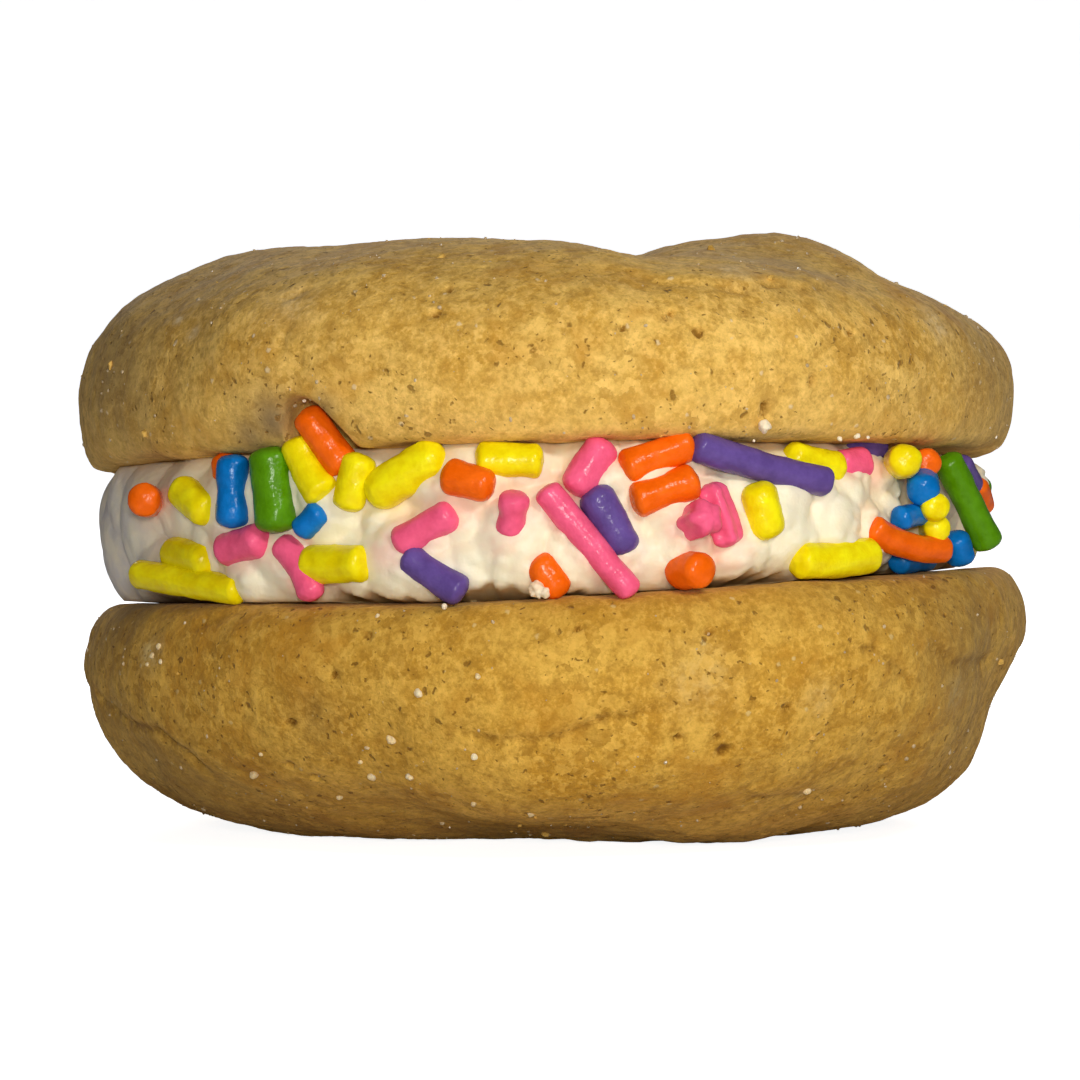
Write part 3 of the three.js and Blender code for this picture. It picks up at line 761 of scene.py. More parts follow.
def attribute_of(tree, name, part="Fac"):
    return Node(tree, "ShaderNodeAttribute", attribute_name=name, attribute_type="GEOMETRY")[part]


def bumped(height, strength, distance=0.0001):
    inputs = {"Height": height, "Strength": strength, "Distance": distance}
    return one(height.tree, "ShaderNodeBump", inputs)


def toned(colour, share, more=0.0):
    """A colour made darker or lighter."""
    return tuple(min(1, share * c + more) for c in colour)


def dough_material(settings, name, patch_size, tone, rim=0.0, crumbs=False):
    """Baked dough. The rim is how much paler, or below 0 how much darker, it is along the flat side; the
    paler band is painted light.
    """
    material, tree, place = new_material(name)
    sizes = {"Patch Size": patch_size, "Mottle Size": 0.0009, "Pore Size": 0.0009, "Pore Share": 0.8}
    group = bpy.data.node_groups.get("dough_grain") or grain_group()
    grain = Node(tree, "ShaderNodeGroup", {"Place": place, **sizes}, node_tree=group)
    light = toned(settings.pale, 1.2, 0.03)
    dark = tuple(share * c for share, c in zip((0.66, 0.62, 0.6), settings.golden))
    layers = [
        (grain["Patch"].remap(0.38, 0.62), settings.pale),
        (grain["Mottle"].remap(0.51, 0.63, 0.0, 0.6), light),
        (grain["Mottle"].remap(0.47, 0.35, 0.0, 0.55), dark),
        (grain["Grit"].remap(0.5, 0.36, 0.0, 0.4), dark),
        (grain["Grit"].remap(0.54, 0.68, 0.0, 0.4), light),
        (grain["Flake"].remap(0.6, 0.95, 0.0, 0.5), light),
        (grain["Flake"].remap(0.4, 0.05, 0.0, 0.45), dark),
    ]
    if not crumbs:
        crack = attribute_of(tree, "crack").remap(0.1, 0.5, 0.0, 0.85)
        pale = attribute_of(tree, "pale") * grain["Mottle"].remap(0.44, 0.56, 0.5, 1.25)
        layers += [
            # Painted light: the top cookie's band along its flat side is lightened; the bottom cookie's is
            # darkened.
            (attribute_of(tree, "edge") * abs(rim), light if rim > 0 else dark),
            (place.noise(0.0055, 3.0, 0.65).remap(0.54, 0.68, 0.0, 0.5), settings.browned),
            (pale, settings.flour),
            # Painted shade in the dull grey-brown patches.
            (attribute_of(tree, "smudge"), settings.smudge),
            (grain["Fleck"] * 0.7, settings.flour),
            # Painted shade: creases, pits and pores are darkened with the shade colour.
            (crack * grain["Mottle"].remap(0.58, 0.46, 0.4, 1.0), settings.shade),
            (grain["Pore"] * 0.7, settings.shade),
        ]
    finish = {
        "Base Color": tint(1.0, layered(settings.golden, layers), tone, "MULTIPLY"),
        "Roughness": 0.85,
        "Specular IOR Level": 0.12,
        "Sheen Weight": 0.06,
        "Sheen Roughness": 0.5,
        "Sheen Tint": (1.0, 0.95, 0.88, 1.0),
        "Normal": bumped(grain["Height"], 0.6, 0.0002),
    }
    feed(tree.nodes["Principled BSDF"], finish)
    return material


def make_cookie(settings, node, marks, tone, side, face, seed):
    """Makes a cookie. The side is 1 for dough over the flat side and -1 for dough under it."""
    piece = smooth_copy(node, node + "_crumb", settings.mesh_size)
    mark_dough(piece, *marks, side, face)
    values = {
        "Lump Height": settings.lump_height,
        "Lump Size": settings.lump_size,
        "Crumb Height": settings.crumb_height,
        "Crumb Size": settings.crumb_size,
        "Seed": 0.1 * seed,
        "Material": dough_material(settings, node + "_dough", COOKIE_PATCH, tone, RIM_LIGHT_AND_DARK * side),
    }
    run_tree(piece, bpy.data.node_groups.get("dough_relief") or dough_relief_tree(), values)
    finish_piece(piece, [node])


# ---- Ice cream ----


def cream_foot(x):
    return lower_face(x) + CONTACT_GAP


def cream_head(x):
    return upper_face(x) - CONTACT_GAP


CREAM_HEIGHT = float(cream_head(0) - cream_foot(0))


def lump_field(turn, level, count, radius, start, uneven=0.0):
    """How far each place is from the nearest of many lumps spread over the edge: 0 on a lump's middle and
    1 at its rim and beyond. Turns are in radians, and levels run from 0 at the foot to 1 at the head."""
    turn, level = np.broadcast_arrays(np.asarray(turn, float), np.asarray(level, float))
    nearest = np.ones(turn.shape)
    for i in range(count):
        away = wrapped(turn - (i + start) * GOLDEN_ANGLE)
        up = (level - fraction(i * LUMP_LEVEL_STEP)) * CREAM_HEIGHT
        wide = radius * (1 + uneven * (fraction(i * LENGTH_SHARE) - 0.5))
        nearest = np.minimum(nearest, ((away * CREAM_RADIUS) ** 2 + up**2) / wide**2)
    return nearest


def cream_radius(turn, level):
    """The ice cream's radius, as in the solids, and how deep in a crease between its large lumps that is."""
    nearest = lump_field(turn, level, LUMP_COUNT, LUMP_RADIUS, LUMP_START)
    rounded = EDGE_ROUND * np.abs(2 * np.asarray(level) - 1) ** EDGE_POWER
    return CREAM_RADIUS - EDGE_LEAN * np.sin(turn) - rounded - LUMP_DEPTH * (nearest - 0.35), nearest


def cream_level(turn, height):
    x = CREAM_RADIUS * math.sin(turn)
    return float(np.clip((height - cream_foot(x)) / (cream_head(x) - cream_foot(x)), 0, 1))


def crumbly_share(turn):
    """Where the edge is crumbled into small lumps, from 0 to 1."""
    here = 0.45 + 0.35 * np.sin(3 * turn + 1.2) * np.cos(2 * turn - 0.4)
    for middle, width in CRUMBLED:
        here = here + 0.55 * hump(turn, middle, width)
    return np.clip(here * (1 - 0.85 * hump(turn, *GREY_END)), 0.12, 1)


def foot_gap(turns):
    """How high the gaps under the ice cream's foot reach: all along the back, in some places in front."""
    wide = np.sin(13 * turns + 2.2 * np.sin(3 * turns))
    narrow = 0.8 * np.sin(29 * turns + 1.4 + np.sin(7 * turns))
    scallop = np.clip(0.25 + 0.6 * (wide + narrow), 0, 1)
    gap = np.where((turns > 1.4) & (turns < 4.7), 1.1 * scallop, 0.05)
    for middle, width, height in FOOT_GAPS:
        ragged = 1 + 0.3 * np.sin(67 * turns + middle) + 0.15 * np.sin(143 * turns)
        gap = np.maximum(gap, height * ragged * hump(turns, middle, width, 4))
    return gap


def cream_mesh(around=880, levels=56):
    """A closed disc that meets both cookies, with its lumpy edge in small faces, and how deep each point
    lies between lumps."""
    turns = np.arange(around) * 2 * math.pi / around
    crumbly, gap = crumbly_share(turns), foot_gap(turns)
    sunk_part, left_part = (hump(turns, *part, 4) for part in (SUNK_PART, LEFT_PART))
    calm = 1 - 0.65 * hump(turns, *CALM_PART, 4)
    rows = [(share * CREAM_RADIUS, 0.0, np.zeros(around)) for share in INNER_RINGS]
    for i in range(levels):
        level = i / (levels - 1)
        radius, large = cream_radius(turns, level)
        middling, small = (lump_field(turns, level, *lumps) for lumps in (MIDDLING_LUMPS, SMALL_LUMPS))
        lumpy = 0.8 * (0.4 + 0.6 * crumbly) * (middling - 0.5) + 0.2 * crumbly * (small - 0.6)
        radius = radius - calm * lumpy
        under = np.sqrt(np.clip(1 - level * CREAM_HEIGHT / gap, 0, 1))
        radius = radius - 2.6 * under - 1.8 * sunk_part
        radius = radius + 1.1 * left_part * abs(2 * level - 1) ** EDGE_POWER
        # The depth also rises in the foot gaps and the sunk part, where the material paints shade.
        deep = 0.3 * large + 0.4 * middling + 0.3 * crumbly * small + 0.5 * sunk_part + 2 * under
        rows.append((radius, level, deep))
    rows += [(share * CREAM_RADIUS, 1.0, np.zeros(around)) for share in reversed(INNER_RINGS)]
    rings = []
    for radius, level, _ in rows:
        points = outward(turns) * np.broadcast_to(radius, turns.shape)[:, None]
        foot, head = lower_face(points[:, 0]) - CREAM_OVERLAP, upper_face(points[:, 0]) + CREAM_OVERLAP
        points[:, 2] = foot + (head - foot) * level
        rings.append(points)
    faces = []
    for low in range(0, (len(rows) - 1) * around, around):
        for i in range(around):
            j = (i + 1) % around
            faces.append((low + i, low + j, low + around + j, low + around + i))
    faces.append(tuple(reversed(range(around))))
    faces.append(tuple(range((len(rows) - 1) * around, len(rows) * around)))
    return mesh_of("ice_cream_body", np.concatenate(rings), faces), np.concatenate([row[2] for row in rows])


def gap_to_rods(points, rods):
    """How far each point lies from the nearest of some sprinkles' skins, in millimetres."""
    gap = np.full(len(points), 99.0)
    for rod in rods:
        a, b = rod["path"][0], rod["path"][-1]
        along = b - a
        share = np.clip((points - a) @ along / (along @ along), 0, 1)
        distance = np.linalg.norm(points - a - share[:, None] * along, axis=1) - rod["radius"]
        gap = np.minimum(gap, distance)
    return gap


def cream_relief_tree():
    """Roughens the ice cream's surface and squeezes it up a little round each sprinkle."""
    sizes = {"Rough Height": 0.0002, "Rough Size": 0.0012, "Rim Height": 0.00025}
    tree, given = shape_tree("cream_relief", sizes)
    place = one(tree, "GeometryNodeInputPosition")
    soft = place.noise(given["Rough Size"], 3.0, 0.55) - 0.5
    slabs = place.noise(given["Rough Size"] * 3.0, 1.0) - 0.5
    rough = slabs.line(1.4, soft) * (given["Rough Height"] * 2.5)
    push = (rough + named(tree, "rim") * given["Rim Height"]) * named(tree, "edge")
    return end_tree(pushed(given["Geometry"], push, (1.0, 1.0, 0.3)), given)


def cream_material(settings):
    material, tree, place = new_material("vanilla_ice_cream")
    warm = tuple(0.55 * a + 0.45 * b for a, b in zip(settings.white, settings.hollow))
    hollow = attribute_of(tree, "hollow")
    bleed = attribute_of(tree, "bleed") * place.noise(0.002, 2.0).remap(0.36, 0.58, 0.25, 1.0)
    layers = [
        (place.noise(0.0035, 3.0, 0.55).remap(0.48, 0.7, 0.0, 0.4), warm),
        # Painted shade deep between the lumps.
        (hollow.remap(0.45, 1.0, 0.0, 0.75), settings.hollow),
        # Darker tan towards both cookies: partly crumb stain and partly painted shade where the cookies meet
        # and overhang the ice cream.
        (attribute_of(tree, "seam").remap(0.5, 1.0, 0.0, 0.4), settings.hollow),
        # Dye from the sprinkles, and painted shade at the grey end.
        (bleed * settings.bleed, attribute_of(tree, "dye", "Color")),
        # Painted shade in the gaps under the foot and in the sunk part.
        (hollow.remap(1.1, 2.2, 0.0, 0.9), settings.shade),
    ]
    finish = {
        "Base Color": layered(settings.white, layers),
        "Roughness": 0.45,
        "Specular IOR Level": 0.35,
        "Subsurface Weight": 0.3,
        "Subsurface Radius": (1.0, 0.75, 0.5),
        "Subsurface Scale": 0.0007,
        "Normal": bumped(place.noise(0.0006, 2.0, 0.6), 0.5),
    }
    feed(tree.nodes["Principled BSDF"], finish)
    return material


def make_ice_cream(settings):
    mesh, deep = cream_mesh()
    points = points_of(mesh)
    rods = all_rods()
    out = np.linalg.norm(points[:, :2], axis=1)
    low, high = lower_face(points[:, 0]), upper_face(points[:, 0])
    level = (points[:, 2] - low) / (high - low)
    # How deep each point lies between lumps, in the foot gaps and in the sunk part, kept as a mask for
    # painted shade.
    keep_values(mesh, "hollow", deep)
    smooth_end = hump(np.arctan2(points[:, 0], -points[:, 1]), *GREY_END, 4)
    keep_values(mesh, "edge", np.clip((out - 0.88 * CREAM_RADIUS) / 1.5, 0, 1) * (1 - 0.95 * smooth_end))
    # Near both cookies: a mask for crumb stain and painted shade.
    keep_values(mesh, "seam", np.abs(2 * level - 1) ** 5)
    keep_values(mesh, "rim", bell(np.maximum(gap_to_rods(points, rods), 0), 0.5))
    weights = np.zeros((len(COLOURS) + 1, len(points)))
    for i, colour in enumerate(COLOURS):
        gap = gap_to_rods(points, [rod for rod in rods if rod["colour"] == colour])
        weights[i] = BLEED_STRENGTH[colour] * np.clip(1.05 - gap / 1.35, 0, 1) ** 1.4
    # Painted shade: the smooth end is greyed through the same mix as the dye.
    weights[-1] = GREY_SHADE_STRENGTH * smooth_end
    dye = np.array([BLEED_COLOUR[colour] for colour in COLOURS] + [GREY_SHADE_COLOUR])
    mixed = (weights.T @ dye) / np.maximum(weights.sum(0), 1e-6)[:, None]
    keep_values(mesh, "bleed", weights.max(0))
    keep_colours(mesh, "dye", mixed)
    piece = new_piece("ice_cream_disc", mesh)
    values = {
        "Rough Height": settings.rough_height,
        "Rough Size": settings.rough_size,
        "Rim Height": settings.rim_height,
        "Material": cream_material(settings),
    }
    run_tree(piece, cream_relief_tree(), values)
    finish_piece(piece, ["ice_cream"])


def fleck_tree():
    """Puts an uneven lump on every point, as wide as the point's radius says."""
    tree, given = shape_tree("cream_flecks", {"Unevenness": 1.5, "Uneven Size": 0.0005})
    ball = one(tree, "GeometryNodeMeshIcoSphere", {"Radius": 1.0, "Subdivisions": 4})
    inputs = {"Points": given["Geometry"], "Instance": ball, "Scale": named(tree, "radius")}
    balls = one(tree, "GeometryNodeInstanceOnPoints", inputs)
    balls = one(tree, "GeometryNodeRealizeInstances", {0: balls})
    uneven = one(tree, "GeometryNodeInputPosition").noise(given["Uneven Size"], 1.0) - 0.5
    return end_tree(pushed(balls, uneven * (given["Unevenness"] * named(tree, "radius"))), given)


def make_flecks():
    cookie = bpy.data.objects["bottom_cookie_crumb"]
    tree = BVHTree.FromObject(cookie, bpy.context.evaluated_depsgraph_get())
    places = [outward(math.radians(turn)) * out + [0, 0, height] for turn, height, out, _ in CREAM_FLECKS]
    places += [on_side(tree, turn, height) for turn, height, _ in DOUGH_CHIPS]
    counts = [len(CREAM_FLECKS), len(DOUGH_CHIPS)]
    mesh = mesh_of("fleck_places", places)
    keep_values(mesh, "radius", np.array([row[-1] for row in CREAM_FLECKS + DOUGH_CHIPS]) * MM)
    keep_values(mesh, "bleed", np.repeat([FLECK_BLEED, CHIP_BLEED], counts))
    keep_colours(mesh, "dye", np.repeat([BLEED_COLOUR["orange"], CHIP_COLOUR], counts, axis=0))
    piece = new_piece("cream_flecks", mesh)
    run_tree(piece, fleck_tree(), {"Material": bpy.data.materials["vanilla_ice_cream"]})
    finish_piece(piece, [])


# ---- Sprinkles ----


def spine_of(turn, height, lean, length):
    """Points along a sprinkle on the unrolled edge, as (way round, height)."""
    share = np.array([-1, -0.33, 0.33, 1]) * (length - SPRINKLE_DIAMETER) / 2
    lean = math.radians(lean)
    along = math.radians(turn) * CREAM_RADIUS + share * math.cos(lean)
    return np.stack([along, height + share * math.sin(lean)], 1)


def rest_of_sprinkles():
    """Fills the rest of the edge: every measure steps on by its own irrational share, and a sprinkle that
    would come too close to one already placed is skipped."""
    placed = []
    spines = [spine_of(*row[1:5]) for row in FRONT_SPRINKLES]
    for i in range(REST_TRIES):
        if len(placed) == REST_COUNT:
            break
        turn = REST_FROM + (REST_TO - REST_FROM) * fraction(i * TURN_SHARE)
        length = REST_SHORTEST + REST_SPREAD * fraction(i * LENGTH_SHARE) ** 2
        x = CREAM_RADIUS * math.sin(math.radians(turn))
        lowest = float(cream_foot(x)) - LOWER_FACE + REST_EDGE
        highest = float(cream_head(x)) - LOWER_FACE - REST_EDGE
        height = lowest + (highest - lowest) * fraction(i * HEIGHT_SHARE)
        room = min(height - lowest, highest - height) + REST_EDGE - SPRINKLE_DIAMETER / 4
        steepest = math.degrees(math.asin(min(1, max(0.08, 2 * room / length))))
        lean = steepest * (2 * fraction(i * LEAN_SHARE) - 1)
        tip = TIPPED_BY if len(placed) % TIPPED_EVERY == TIPPED_EVERY - 1 else 0
        diameter = SPRINKLE_DIAMETER * (0.86 + 0.3 * fraction(i * LEAN_SHARE * 3))
        spine = spine_of(turn, height, lean, length)
        if any(np.linalg.norm(spine[:, None] - other[None], axis=2).min() < REST_CLEAR for other in spines):
            continue
        spines.append(spine)
        colour = COLOUR_ROUND[len(placed) % len(COLOUR_ROUND)]
        special = {"tip": tip, "bend": 0.5 * (fraction(i * TURN_SHARE * 7) - 0.5)}
        placed.append((colour, turn, height, lean, length, diameter, special))
    return placed


def rod_path(row, order):
    """A sprinkle's centre line and radii, with its ends rounded off."""
    colour, turn, height, lean, length, diameter, special = row
    turn, lean, tip = math.radians(turn), math.radians(lean), math.radians(special.get("tip", 0))
    radius = diameter / 2
    away, along_edge, up = outward(turn), onward(turn), np.array([0, 0, 1.0])
    axis = along_edge * math.cos(tip) * math.cos(lean) + up * math.cos(tip) * math.sin(lean)
    axis = axis + away * math.sin(tip)
    side = np.cross(axis, away)
    side /= max(np.linalg.norm(side), 1e-6)
    surface, _ = cream_radius(turn, cream_level(turn, LOWER_FACE + height))
    proud = PROUD_LYING * radius + PROUD_STANDING * length * abs(math.sin(tip))
    middle = away * (float(surface) + proud + special.get("out", 0)) + up * (LOWER_FACE + height)
    cap = min(0.5 + 0.3 * fraction(order * TURN_SHARE), 0.45 * length / radius)
    caps = 1 - np.cos(np.linspace(0, 1, 8) * math.pi / 2)
    low = -length / 2 + cap * radius * caps
    inner = np.linspace(low[-1], -low[-1], 13)[1:-1]
    spots = np.concatenate([low, inner, -low[::-1]])
    into_cap = np.clip((np.abs(spots) - (length / 2 - cap * radius)) / (cap * radius), 0, 1)
    radii = radius * np.maximum(1 - into_cap**CAP_POWER, 0.0) ** (1 / CAP_POWER)
    radii = np.maximum(radii, 0.05 * radius)
    share = spots / (length / 2)
    radii *= 1 - special.get("waist", 0) * bell(share, 0.3)
    radii *= 1 + 0.04 * np.sin(2.4 * share + order)
    bow = special.get("bend", 0) * (1 - share**2)
    path = middle + spots[:, None] * axis + bow[:, None] * side
    rod = {"colour": colour, "path": path, "radii": radii, "radius": radius}
    return {**rod, "knobbly": special.get("knobbly", 0), "tone": fraction(order * LEAN_SHARE)}


def all_rods():
    rows = FRONT_SPRINKLES + rest_of_sprinkles()
    return [rod_path(row, order) for order, row in enumerate(rows)]


def sprinkle_tree():
    """Skins centre lines into rods, or into knobbly rods where a line is marked, and dimples them."""
    sizes = {"Sides": 26.0, "Knob Depth": 0.24, "Dimple": 0.0001, "Dimple Size": 0.0012}
    tree, given = shape_tree("rod_sprinkles", sizes)
    inputs = {"Geometry": given["Geometry"], "Selection": named(tree, "knobbly", "BOOLEAN")}
    halves = Node(tree, "GeometryNodeSeparateGeometry", inputs, domain="POINT")
    sides = one(tree, "FunctionNodeFloatToInt", {0: given["Sides"]})
    circle = one(tree, "GeometryNodeCurvePrimitiveCircle", {"Resolution": sides, "Radius": 1.0})
    inner = calc(tree, "SUBTRACT", 1.0, given["Knob Depth"])
    star = one(tree, "GeometryNodeCurveStar", {"Points": 5, "Inner Radius": inner, "Outer Radius": 1.16})
    inputs = {"Curve": star, "Count": 4, "Radius": 0.3, "Limit Radius": True}
    soft = one(tree, "GeometryNodeFilletCurve", inputs, mode="POLY")
    star = one(tree, "GeometryNodeResampleCurve", {"Curve": soft, "Count": 40})
    joined = Node(tree, "GeometryNodeJoinGeometry")
    for lines, profile in ((halves[1], circle), (halves[0], star)):
        curve = one(tree, "GeometryNodeMeshToCurve", {"Mesh": lines})
        inputs = {"Curve": curve, "Profile Curve": profile, "Scale": named(tree, "radius")}
        rods = one(tree, "GeometryNodeCurveToMesh", {**inputs, "Fill Caps": True})
        feed(joined.node, {0: rods})
    dimple = one(tree, "GeometryNodeInputPosition").noise(given["Dimple Size"], 3.0, 0.6) - 0.5
    return end_tree(pushed(joined[0], dimple * (given["Dimple"] * 3.0)), given)


def sprinkle_material(settings, colour_name):
    material, tree, place = new_material("sprinkle_" + colour_name)
    colour = getattr(settings, colour_name)
    dark, light = toned(colour, 0.86), toned(colour, 1.12, 0.006)
    blotched = tint(place.noise(0.0012, 3.0, 0.6).remap(0.36, 0.66), dark, light)
    finish = {
        "Base Color": tint(attribute_of(tree, "tone") * 0.2, blotched, dark),
        "Roughness": settings.roughness,
        "Specular IOR Level": 0.2,
        "Normal": bumped(place.noise(0.0005, 2.0, 0.6), 0.6),
    }
    feed(tree.nodes["Principled BSDF"], finish)
    return material


def make_sprinkles(settings, colour, tree):
    rods = [rod for rod in all_rods() if rod["colour"] == colour]
    points = np.concatenate([rod["path"] for rod in rods])
    counts = [len(rod["path"]) for rod in rods]
    ends = set(np.cumsum(counts) - 1)
    edges = [(i, i + 1) for i in range(len(points)) if i not in ends]
    mesh = mesh_of("sprinkle_lines", points, edges=edges)
    keep_values(mesh, "radius", np.concatenate([rod["radii"] for rod in rods]) * MM)
    keep_values(mesh, "tone", np.repeat([rod["tone"] for rod in rods], counts))
    keep_values(mesh, "knobbly", np.repeat([rod["knobbly"] for rod in rods], counts), "BOOLEAN")
    piece = new_piece(f"{colour}_sprinkles", mesh)
    run_tree(piece, tree, {"Dimple": settings.dimple, "Material": sprinkle_material(settings, colour)})
    finish_piece(piece, ["ice_cream"])


# ---- Sugar and crumbs ----


def scatter_tree():
    """Scatters small angular grains over a surface, where its sugar value lets them lie."""
    tree, given = shape_tree("scattered_grains", {"Density": 90000.0, "Grain Size": 0.0004, "Seed": 1.0})
    seed = one(tree, "FunctionNodeFloatToInt", {0: given["Seed"]})
    density = given["Density"] * named(tree, "sugar")
    inputs = {"Mesh": given["Geometry"], "Density": density, "Seed": seed}
    points = one(tree, "GeometryNodeDistributePointsOnFaces", inputs, distribute_method="RANDOM")
    inputs = {"Radius": given["Grain Size"] * 0.5, "Subdivisions": 1}
    grain = one(tree, "GeometryNodeMeshIcoSphere", inputs)

    def random(kind, limits):
        return Node(tree, "FunctionNodeRandomValue", {**limits, "Seed": seed}, data_type=kind)

    turned = random("FLOAT_VECTOR", {0: (0.0, 0.0, 0.0), 1: (6.3, 6.3, 6.3)})[0]
    shaped = random("FLOAT_VECTOR", {0: (0.7, 0.6, 0.5), 1: (1.3, 1.1, 1.0)})[0]
    bulk = (random("FLOAT", {2: 0.0, 3: 1.0})[1] ** 3.0).line(1.0, 0.4)
    sized = shaped.vector("SCALE", bulk)
    inputs = {"Points": points, "Instance": grain, "Rotation": turned, "Scale": sized}
    return end_tree(one(tree, "GeometryNodeInstanceOnPoints", inputs), given, smooth=False)


def sugar_material(settings):
    material, tree, place = new_material("sugar_grain")
    shade = place.noise(0.0009, 1.0).remap(0.35, 0.65)
    finish = {"Base Color": tint(shade, toned(settings.sugar, 0.7), settings.sugar), "Roughness": 0.25}
    feed(tree.nodes["Principled BSDF"], finish)
    return material


# Waves that gather the sugar here and there: direction, number of waves and shift.
SUGAR_WAVES = [((0.8, 0.3, 0.5), 0.9, 1), ((-0.4, 0.9, 0.2), 1.3, 4), ((0.1, -0.5, 0.85), 1.1, 2)]


def carrier(name):
    """Both cookies' skins as one mesh, marked with where sugar and crumbs lie."""
    joined = bmesh.new()
    for cookie in ("bottom_cookie_crumb", "top_cookie_crumb"):
        joined.from_mesh(bpy.data.objects[cookie].data)
    mesh = bpy.data.meshes.new(name)
    joined.to_mesh(mesh)
    joined.free()
    mesh.materials.clear()
    points = points_of(mesh)
    out = np.linalg.norm(points[:, :2], axis=1)
    inside = (points[:, 2] > LOWER_FACE - 1) & (points[:, 2] < UPPER_FACE + 1) & (out < CREAM_RADIUS + 0.5)
    waves = sum(np.sin(points @ np.array(way) * scale + shift) for way, scale, shift in SUGAR_WAVES)
    bare = inside | (points[:, 2] < 0.4)
    keep_values(mesh, "sugar", np.where(bare, 0, np.clip(0.6 + 0.4 * waves, 0.05, 1.8)))
    return mesh


def make_grains(name, values, material):
    piece = new_piece(name, carrier(name))
    tree = bpy.data.node_groups.get("scattered_grains") or scatter_tree()
    run_tree(piece, tree, {**values, "Material": material})
    finish_piece(piece, [])


# ---- Stage ----


# The lamps in front are a little warm and the room a little cool.
LAMP_COLOUR, ROOM_COLOUR, WHITE = (1.0, 0.985, 0.92), (0.93, 0.97, 1.15), (1, 1, 1)
# Each lamp: the setting of its power, its place, width and colour.
LAMPS = {
    "key_lamp": ("key_power", (0, -0.2, 0.03), 0.02, LAMP_COLOUR),
    "side_lamp": ("side_power", (0.05, -0.12, 0.07), 0.02, LAMP_COLOUR),
    "left_back_lamp": ("left_power", (-0.13, 0.38, 0.26), 0.2, WHITE),
    "right_back_lamp": ("right_power", (0.16, 0.37, 0.26), 0.2, WHITE),
}
LAMP_AIM = (0, 0, 0.02)
CAMERA_PLACE, SENSOR_WIDTH = (-0.0008, -0.2, 0.0168), 36
# The floor in metres: its front, the start of its curve, the curve's radius, its top and half its width.
FLOOR_FRONT, CURVE_START, CURVE_RADIUS, FLOOR_TOP, FLOOR_HALF = -0.9, 0.35, 0.25, 0.9, 1.2
FLOOR_SHADE, FLOOR_GLOW = 0.85, 0.9


def add_lamp(name, power, place, size, colour):
    lamp = bpy.data.lights.new(name, "AREA")
    lamp.shape = "DISK"
    lamp.size, lamp.energy, lamp.color = size, power, colour
    holder = new_piece(name, lamp)
    holder.location = place
    holder.rotation_euler = (Vector(LAMP_AIM) - Vector(place)).to_track_quat("-Z", "Y").to_euler()


def sweep_mesh():
    """A floor that curves up into a backdrop."""
    profile = [(y, 0.0) for y in (FLOOR_FRONT, -0.3, 0.0, CURVE_START)]
    for a in np.linspace(0.1, math.pi / 2, 12):
        along, up = CURVE_RADIUS * math.sin(a), CURVE_RADIUS - CURVE_RADIUS * math.cos(a)
        profile.append((CURVE_START + along, up))
    profile.append((CURVE_START + CURVE_RADIUS, FLOOR_TOP))
    points = [(x / MM, y / MM, z / MM) for y, z in profile for x in (-FLOOR_HALF, FLOOR_HALF)]
    faces = [(2 * i, 2 * i + 1, 2 * i + 3, 2 * i + 2) for i in range(len(profile) - 1)]
    return mesh_of("sweep", points, faces)


def make_stage(settings):
    scene = bpy.context.scene
    floor = new_piece("pale_floor", sweep_mesh())
    material = bpy.data.materials.new("pale_floor")
    material.use_nodes = True
    tree = material.node_tree
    tree.nodes.remove(tree.nodes["Principled BSDF"])
    # The floor glows where the camera sees it, so that it looks as white as the room.
    seen = Node(tree, "ShaderNodeLightPath")["Is Camera Ray"]
    matte = one(tree, "ShaderNodeBsdfDiffuse", {"Color": (*[FLOOR_SHADE] * 3, 1)})
    glow = one(tree, "ShaderNodeEmission", {"Color": (*WHITE, 1), "Strength": seen * FLOOR_GLOW})
    feed(tree.nodes["Material Output"], {"Surface": one(tree, "ShaderNodeAddShader", {0: matte, 1: glow})})
    floor.data.materials.append(material)
    for face in floor.data.polygons:
        face.use_smooth = True

    for name, (power, place, size, colour) in LAMPS.items():
        add_lamp(name, getattr(settings, power), place, size, colour)

    scene.world = bpy.data.worlds.new("soft_room")
    scene.world.use_nodes = True
    tree = scene.world.node_tree
    # The room looks white past the floor, and lights the sandwich softly.
    seen = Node(tree, "ShaderNodeLightPath")["Is Camera Ray"]
    strength = seen.remap(0.0, 1.0, settings.ambient, 1.0)
    feed(tree.nodes["Background"], {"Color": tint(seen, ROOM_COLOUR, WHITE), "Strength": strength})
    scene.view_settings.view_transform = "Standard"

    camera = bpy.data.cameras.new("front_camera")
    camera.lens, camera.sensor_width = settings.lens, SENSOR_WIDTH
    camera.clip_start = 0.01
    scene.camera = new_piece("front_camera", camera)
    scene.camera.location = CAMERA_PLACE
    scene.camera.rotation_euler = (math.pi / 2 + settings.tilt, 0, 0)


# ---- Operators ----


class SANDWICH_OT_cookies(bpy.types.Operator):
    """Makes the bottom and the top cookie"""

    bl_idname = "sandwich.cookies"
    bl_label = "Bake cookies"

    def execute(self, context):
        settings = context.scene.sandwich_dough
        creases = BOTTOM_CREASES + back_creases(settings.seed, *BOTTOM_RANGE)
        marks = (creases, BOTTOM_PITS, BOTTOM_PALE, BOTTOM_PAINTED_SHADE)
        make_cookie(settings, "bottom_cookie", marks, settings.bottom_tone, -1, lower_face, 1)
        creases = TOP_CREASES + back_creases(settings.seed + 1, *TOP_RANGE)
        marks = (creases, TOP_PITS, TOP_PALE, TOP_PAINTED_SHADE)
        make_cookie(settings, "top_cookie", marks, settings.top_tone, 1, upper_face, 2)
        return {"FINISHED"}


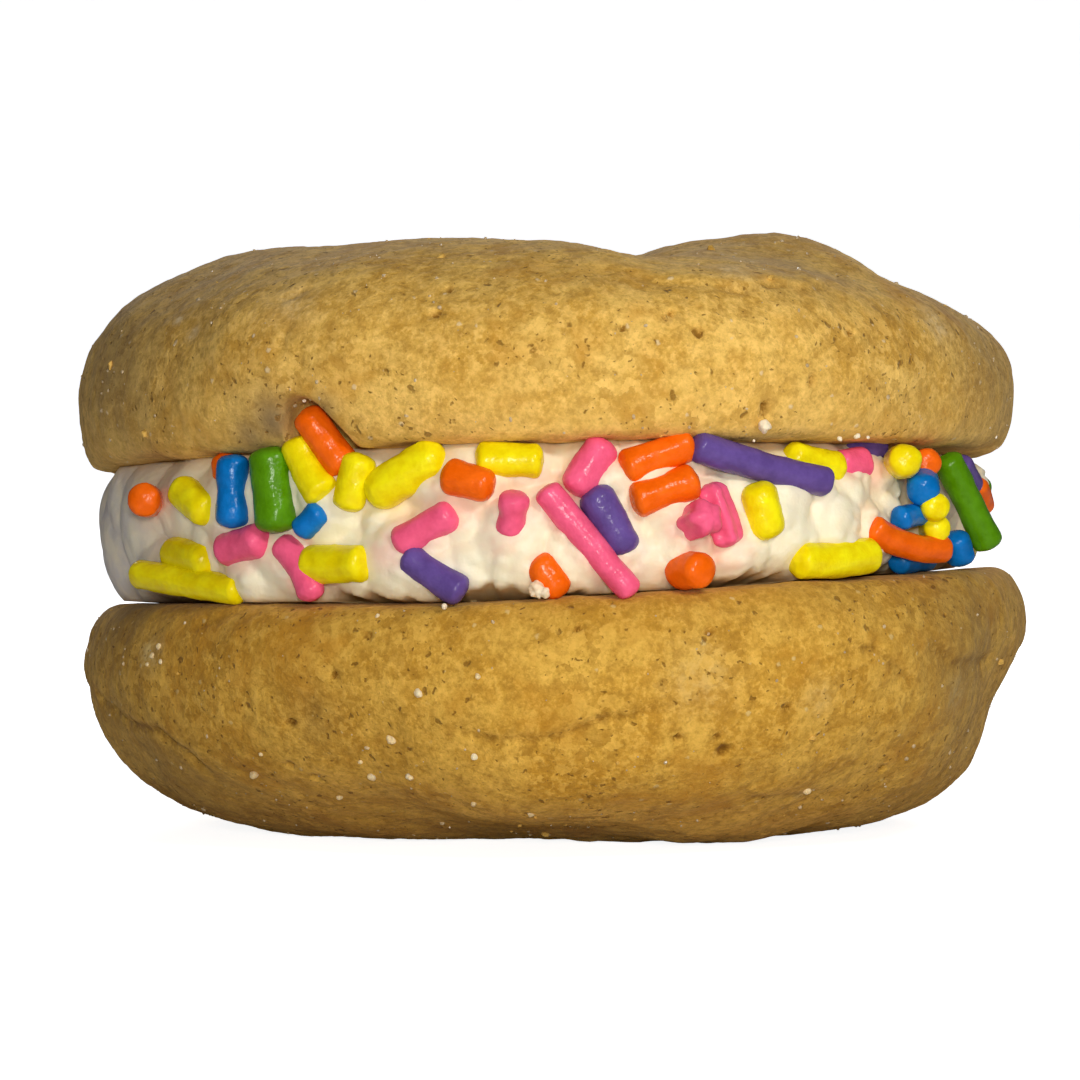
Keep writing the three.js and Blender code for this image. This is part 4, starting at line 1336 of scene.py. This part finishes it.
class SANDWICH_OT_ice_cream(bpy.types.Operator):
    """Makes the disc of ice cream"""

    bl_idname = "sandwich.ice_cream"
    bl_label = "Fill with ice cream"

    def execute(self, context):
        make_ice_cream(context.scene.sandwich_cream)
        make_flecks()
        return {"FINISHED"}


class SANDWICH_OT_sprinkles(bpy.types.Operator):
    """Makes the sprinkles, one piece for each colour"""

    bl_idname = "sandwich.sprinkles"
    bl_label = "Press in sprinkles"

    def execute(self, context):
        tree = sprinkle_tree()
        for colour in COLOURS:
            make_sprinkles(context.scene.sandwich_sprinkles, colour, tree)
        return {"FINISHED"}


class SANDWICH_OT_grains(bpy.types.Operator):
    """Scatters sugar grains and crumbs on the cookies"""

    bl_idname = "sandwich.grains"
    bl_label = "Scatter sugar and crumbs"

    def execute(self, context):
        settings = context.scene.sandwich_grains
        values = {"Density": settings.grain_density, "Grain Size": settings.grain_size, "Seed": 5}
        make_grains("sugar_grains", values, sugar_material(settings))
        values = {"Density": settings.crumb_density, "Grain Size": settings.crumb_size, "Seed": 9}
        crumb = dough_material(context.scene.sandwich_dough, "loose_crumb", CRUMB_PATCH, WHITE, crumbs=True)
        make_grains("loose_crumbs", values, crumb)
        return {"FINISHED"}


class SANDWICH_OT_stage(bpy.types.Operator):
    """Makes the floor, the lamps and the camera"""

    bl_idname = "sandwich.stage"
    bl_label = "Set the stage"

    def execute(self, context):
        make_stage(context.scene.sandwich_stage)
        return {"FINISHED"}


OPERATORS = [
    SANDWICH_OT_cookies,
    SANDWICH_OT_ice_cream,
    SANDWICH_OT_sprinkles,
    SANDWICH_OT_grains,
    SANDWICH_OT_stage,
]


class SANDWICH_PT_panel(bpy.types.Panel):
    """Lists the steps that build the sandwich"""

    bl_idname = "SANDWICH_PT_panel"
    bl_label = "Cookie ice cream sandwich"
    bl_space_type = "VIEW_3D"
    bl_region_type = "UI"
    bl_category = "Sandwich"

    def draw(self, context):
        for operator in OPERATORS:
            self.layout.operator(operator.bl_idname)


SETTINGS = {
    "sandwich_dough": DoughSettings,
    "sandwich_cream": CreamSettings,
    "sandwich_sprinkles": SprinkleSettings,
    "sandwich_grains": GrainSettings,
    "sandwich_stage": StageSettings,
}


def register():
    for group in SETTINGS.values():
        bpy.utils.register_class(group)
    for name, group in SETTINGS.items():
        setattr(bpy.types.Scene, name, PointerProperty(type=group))
    for kind in [*OPERATORS, SANDWICH_PT_panel]:
        bpy.utils.register_class(kind)


def unregister():
    for kind in reversed([*OPERATORS, SANDWICH_PT_panel]):
        bpy.utils.unregister_class(kind)
    for name in SETTINGS:
        delattr(bpy.types.Scene, name)
    for group in reversed(list(SETTINGS.values())):
        bpy.utils.unregister_class(group)


def main():
    register()
    bpy.ops.sandwich.cookies()
    bpy.ops.sandwich.ice_cream()
    bpy.ops.sandwich.sprinkles()
    bpy.ops.sandwich.grains()
    bpy.ops.sandwich.stage()


if __name__ == "__main__":
    main()
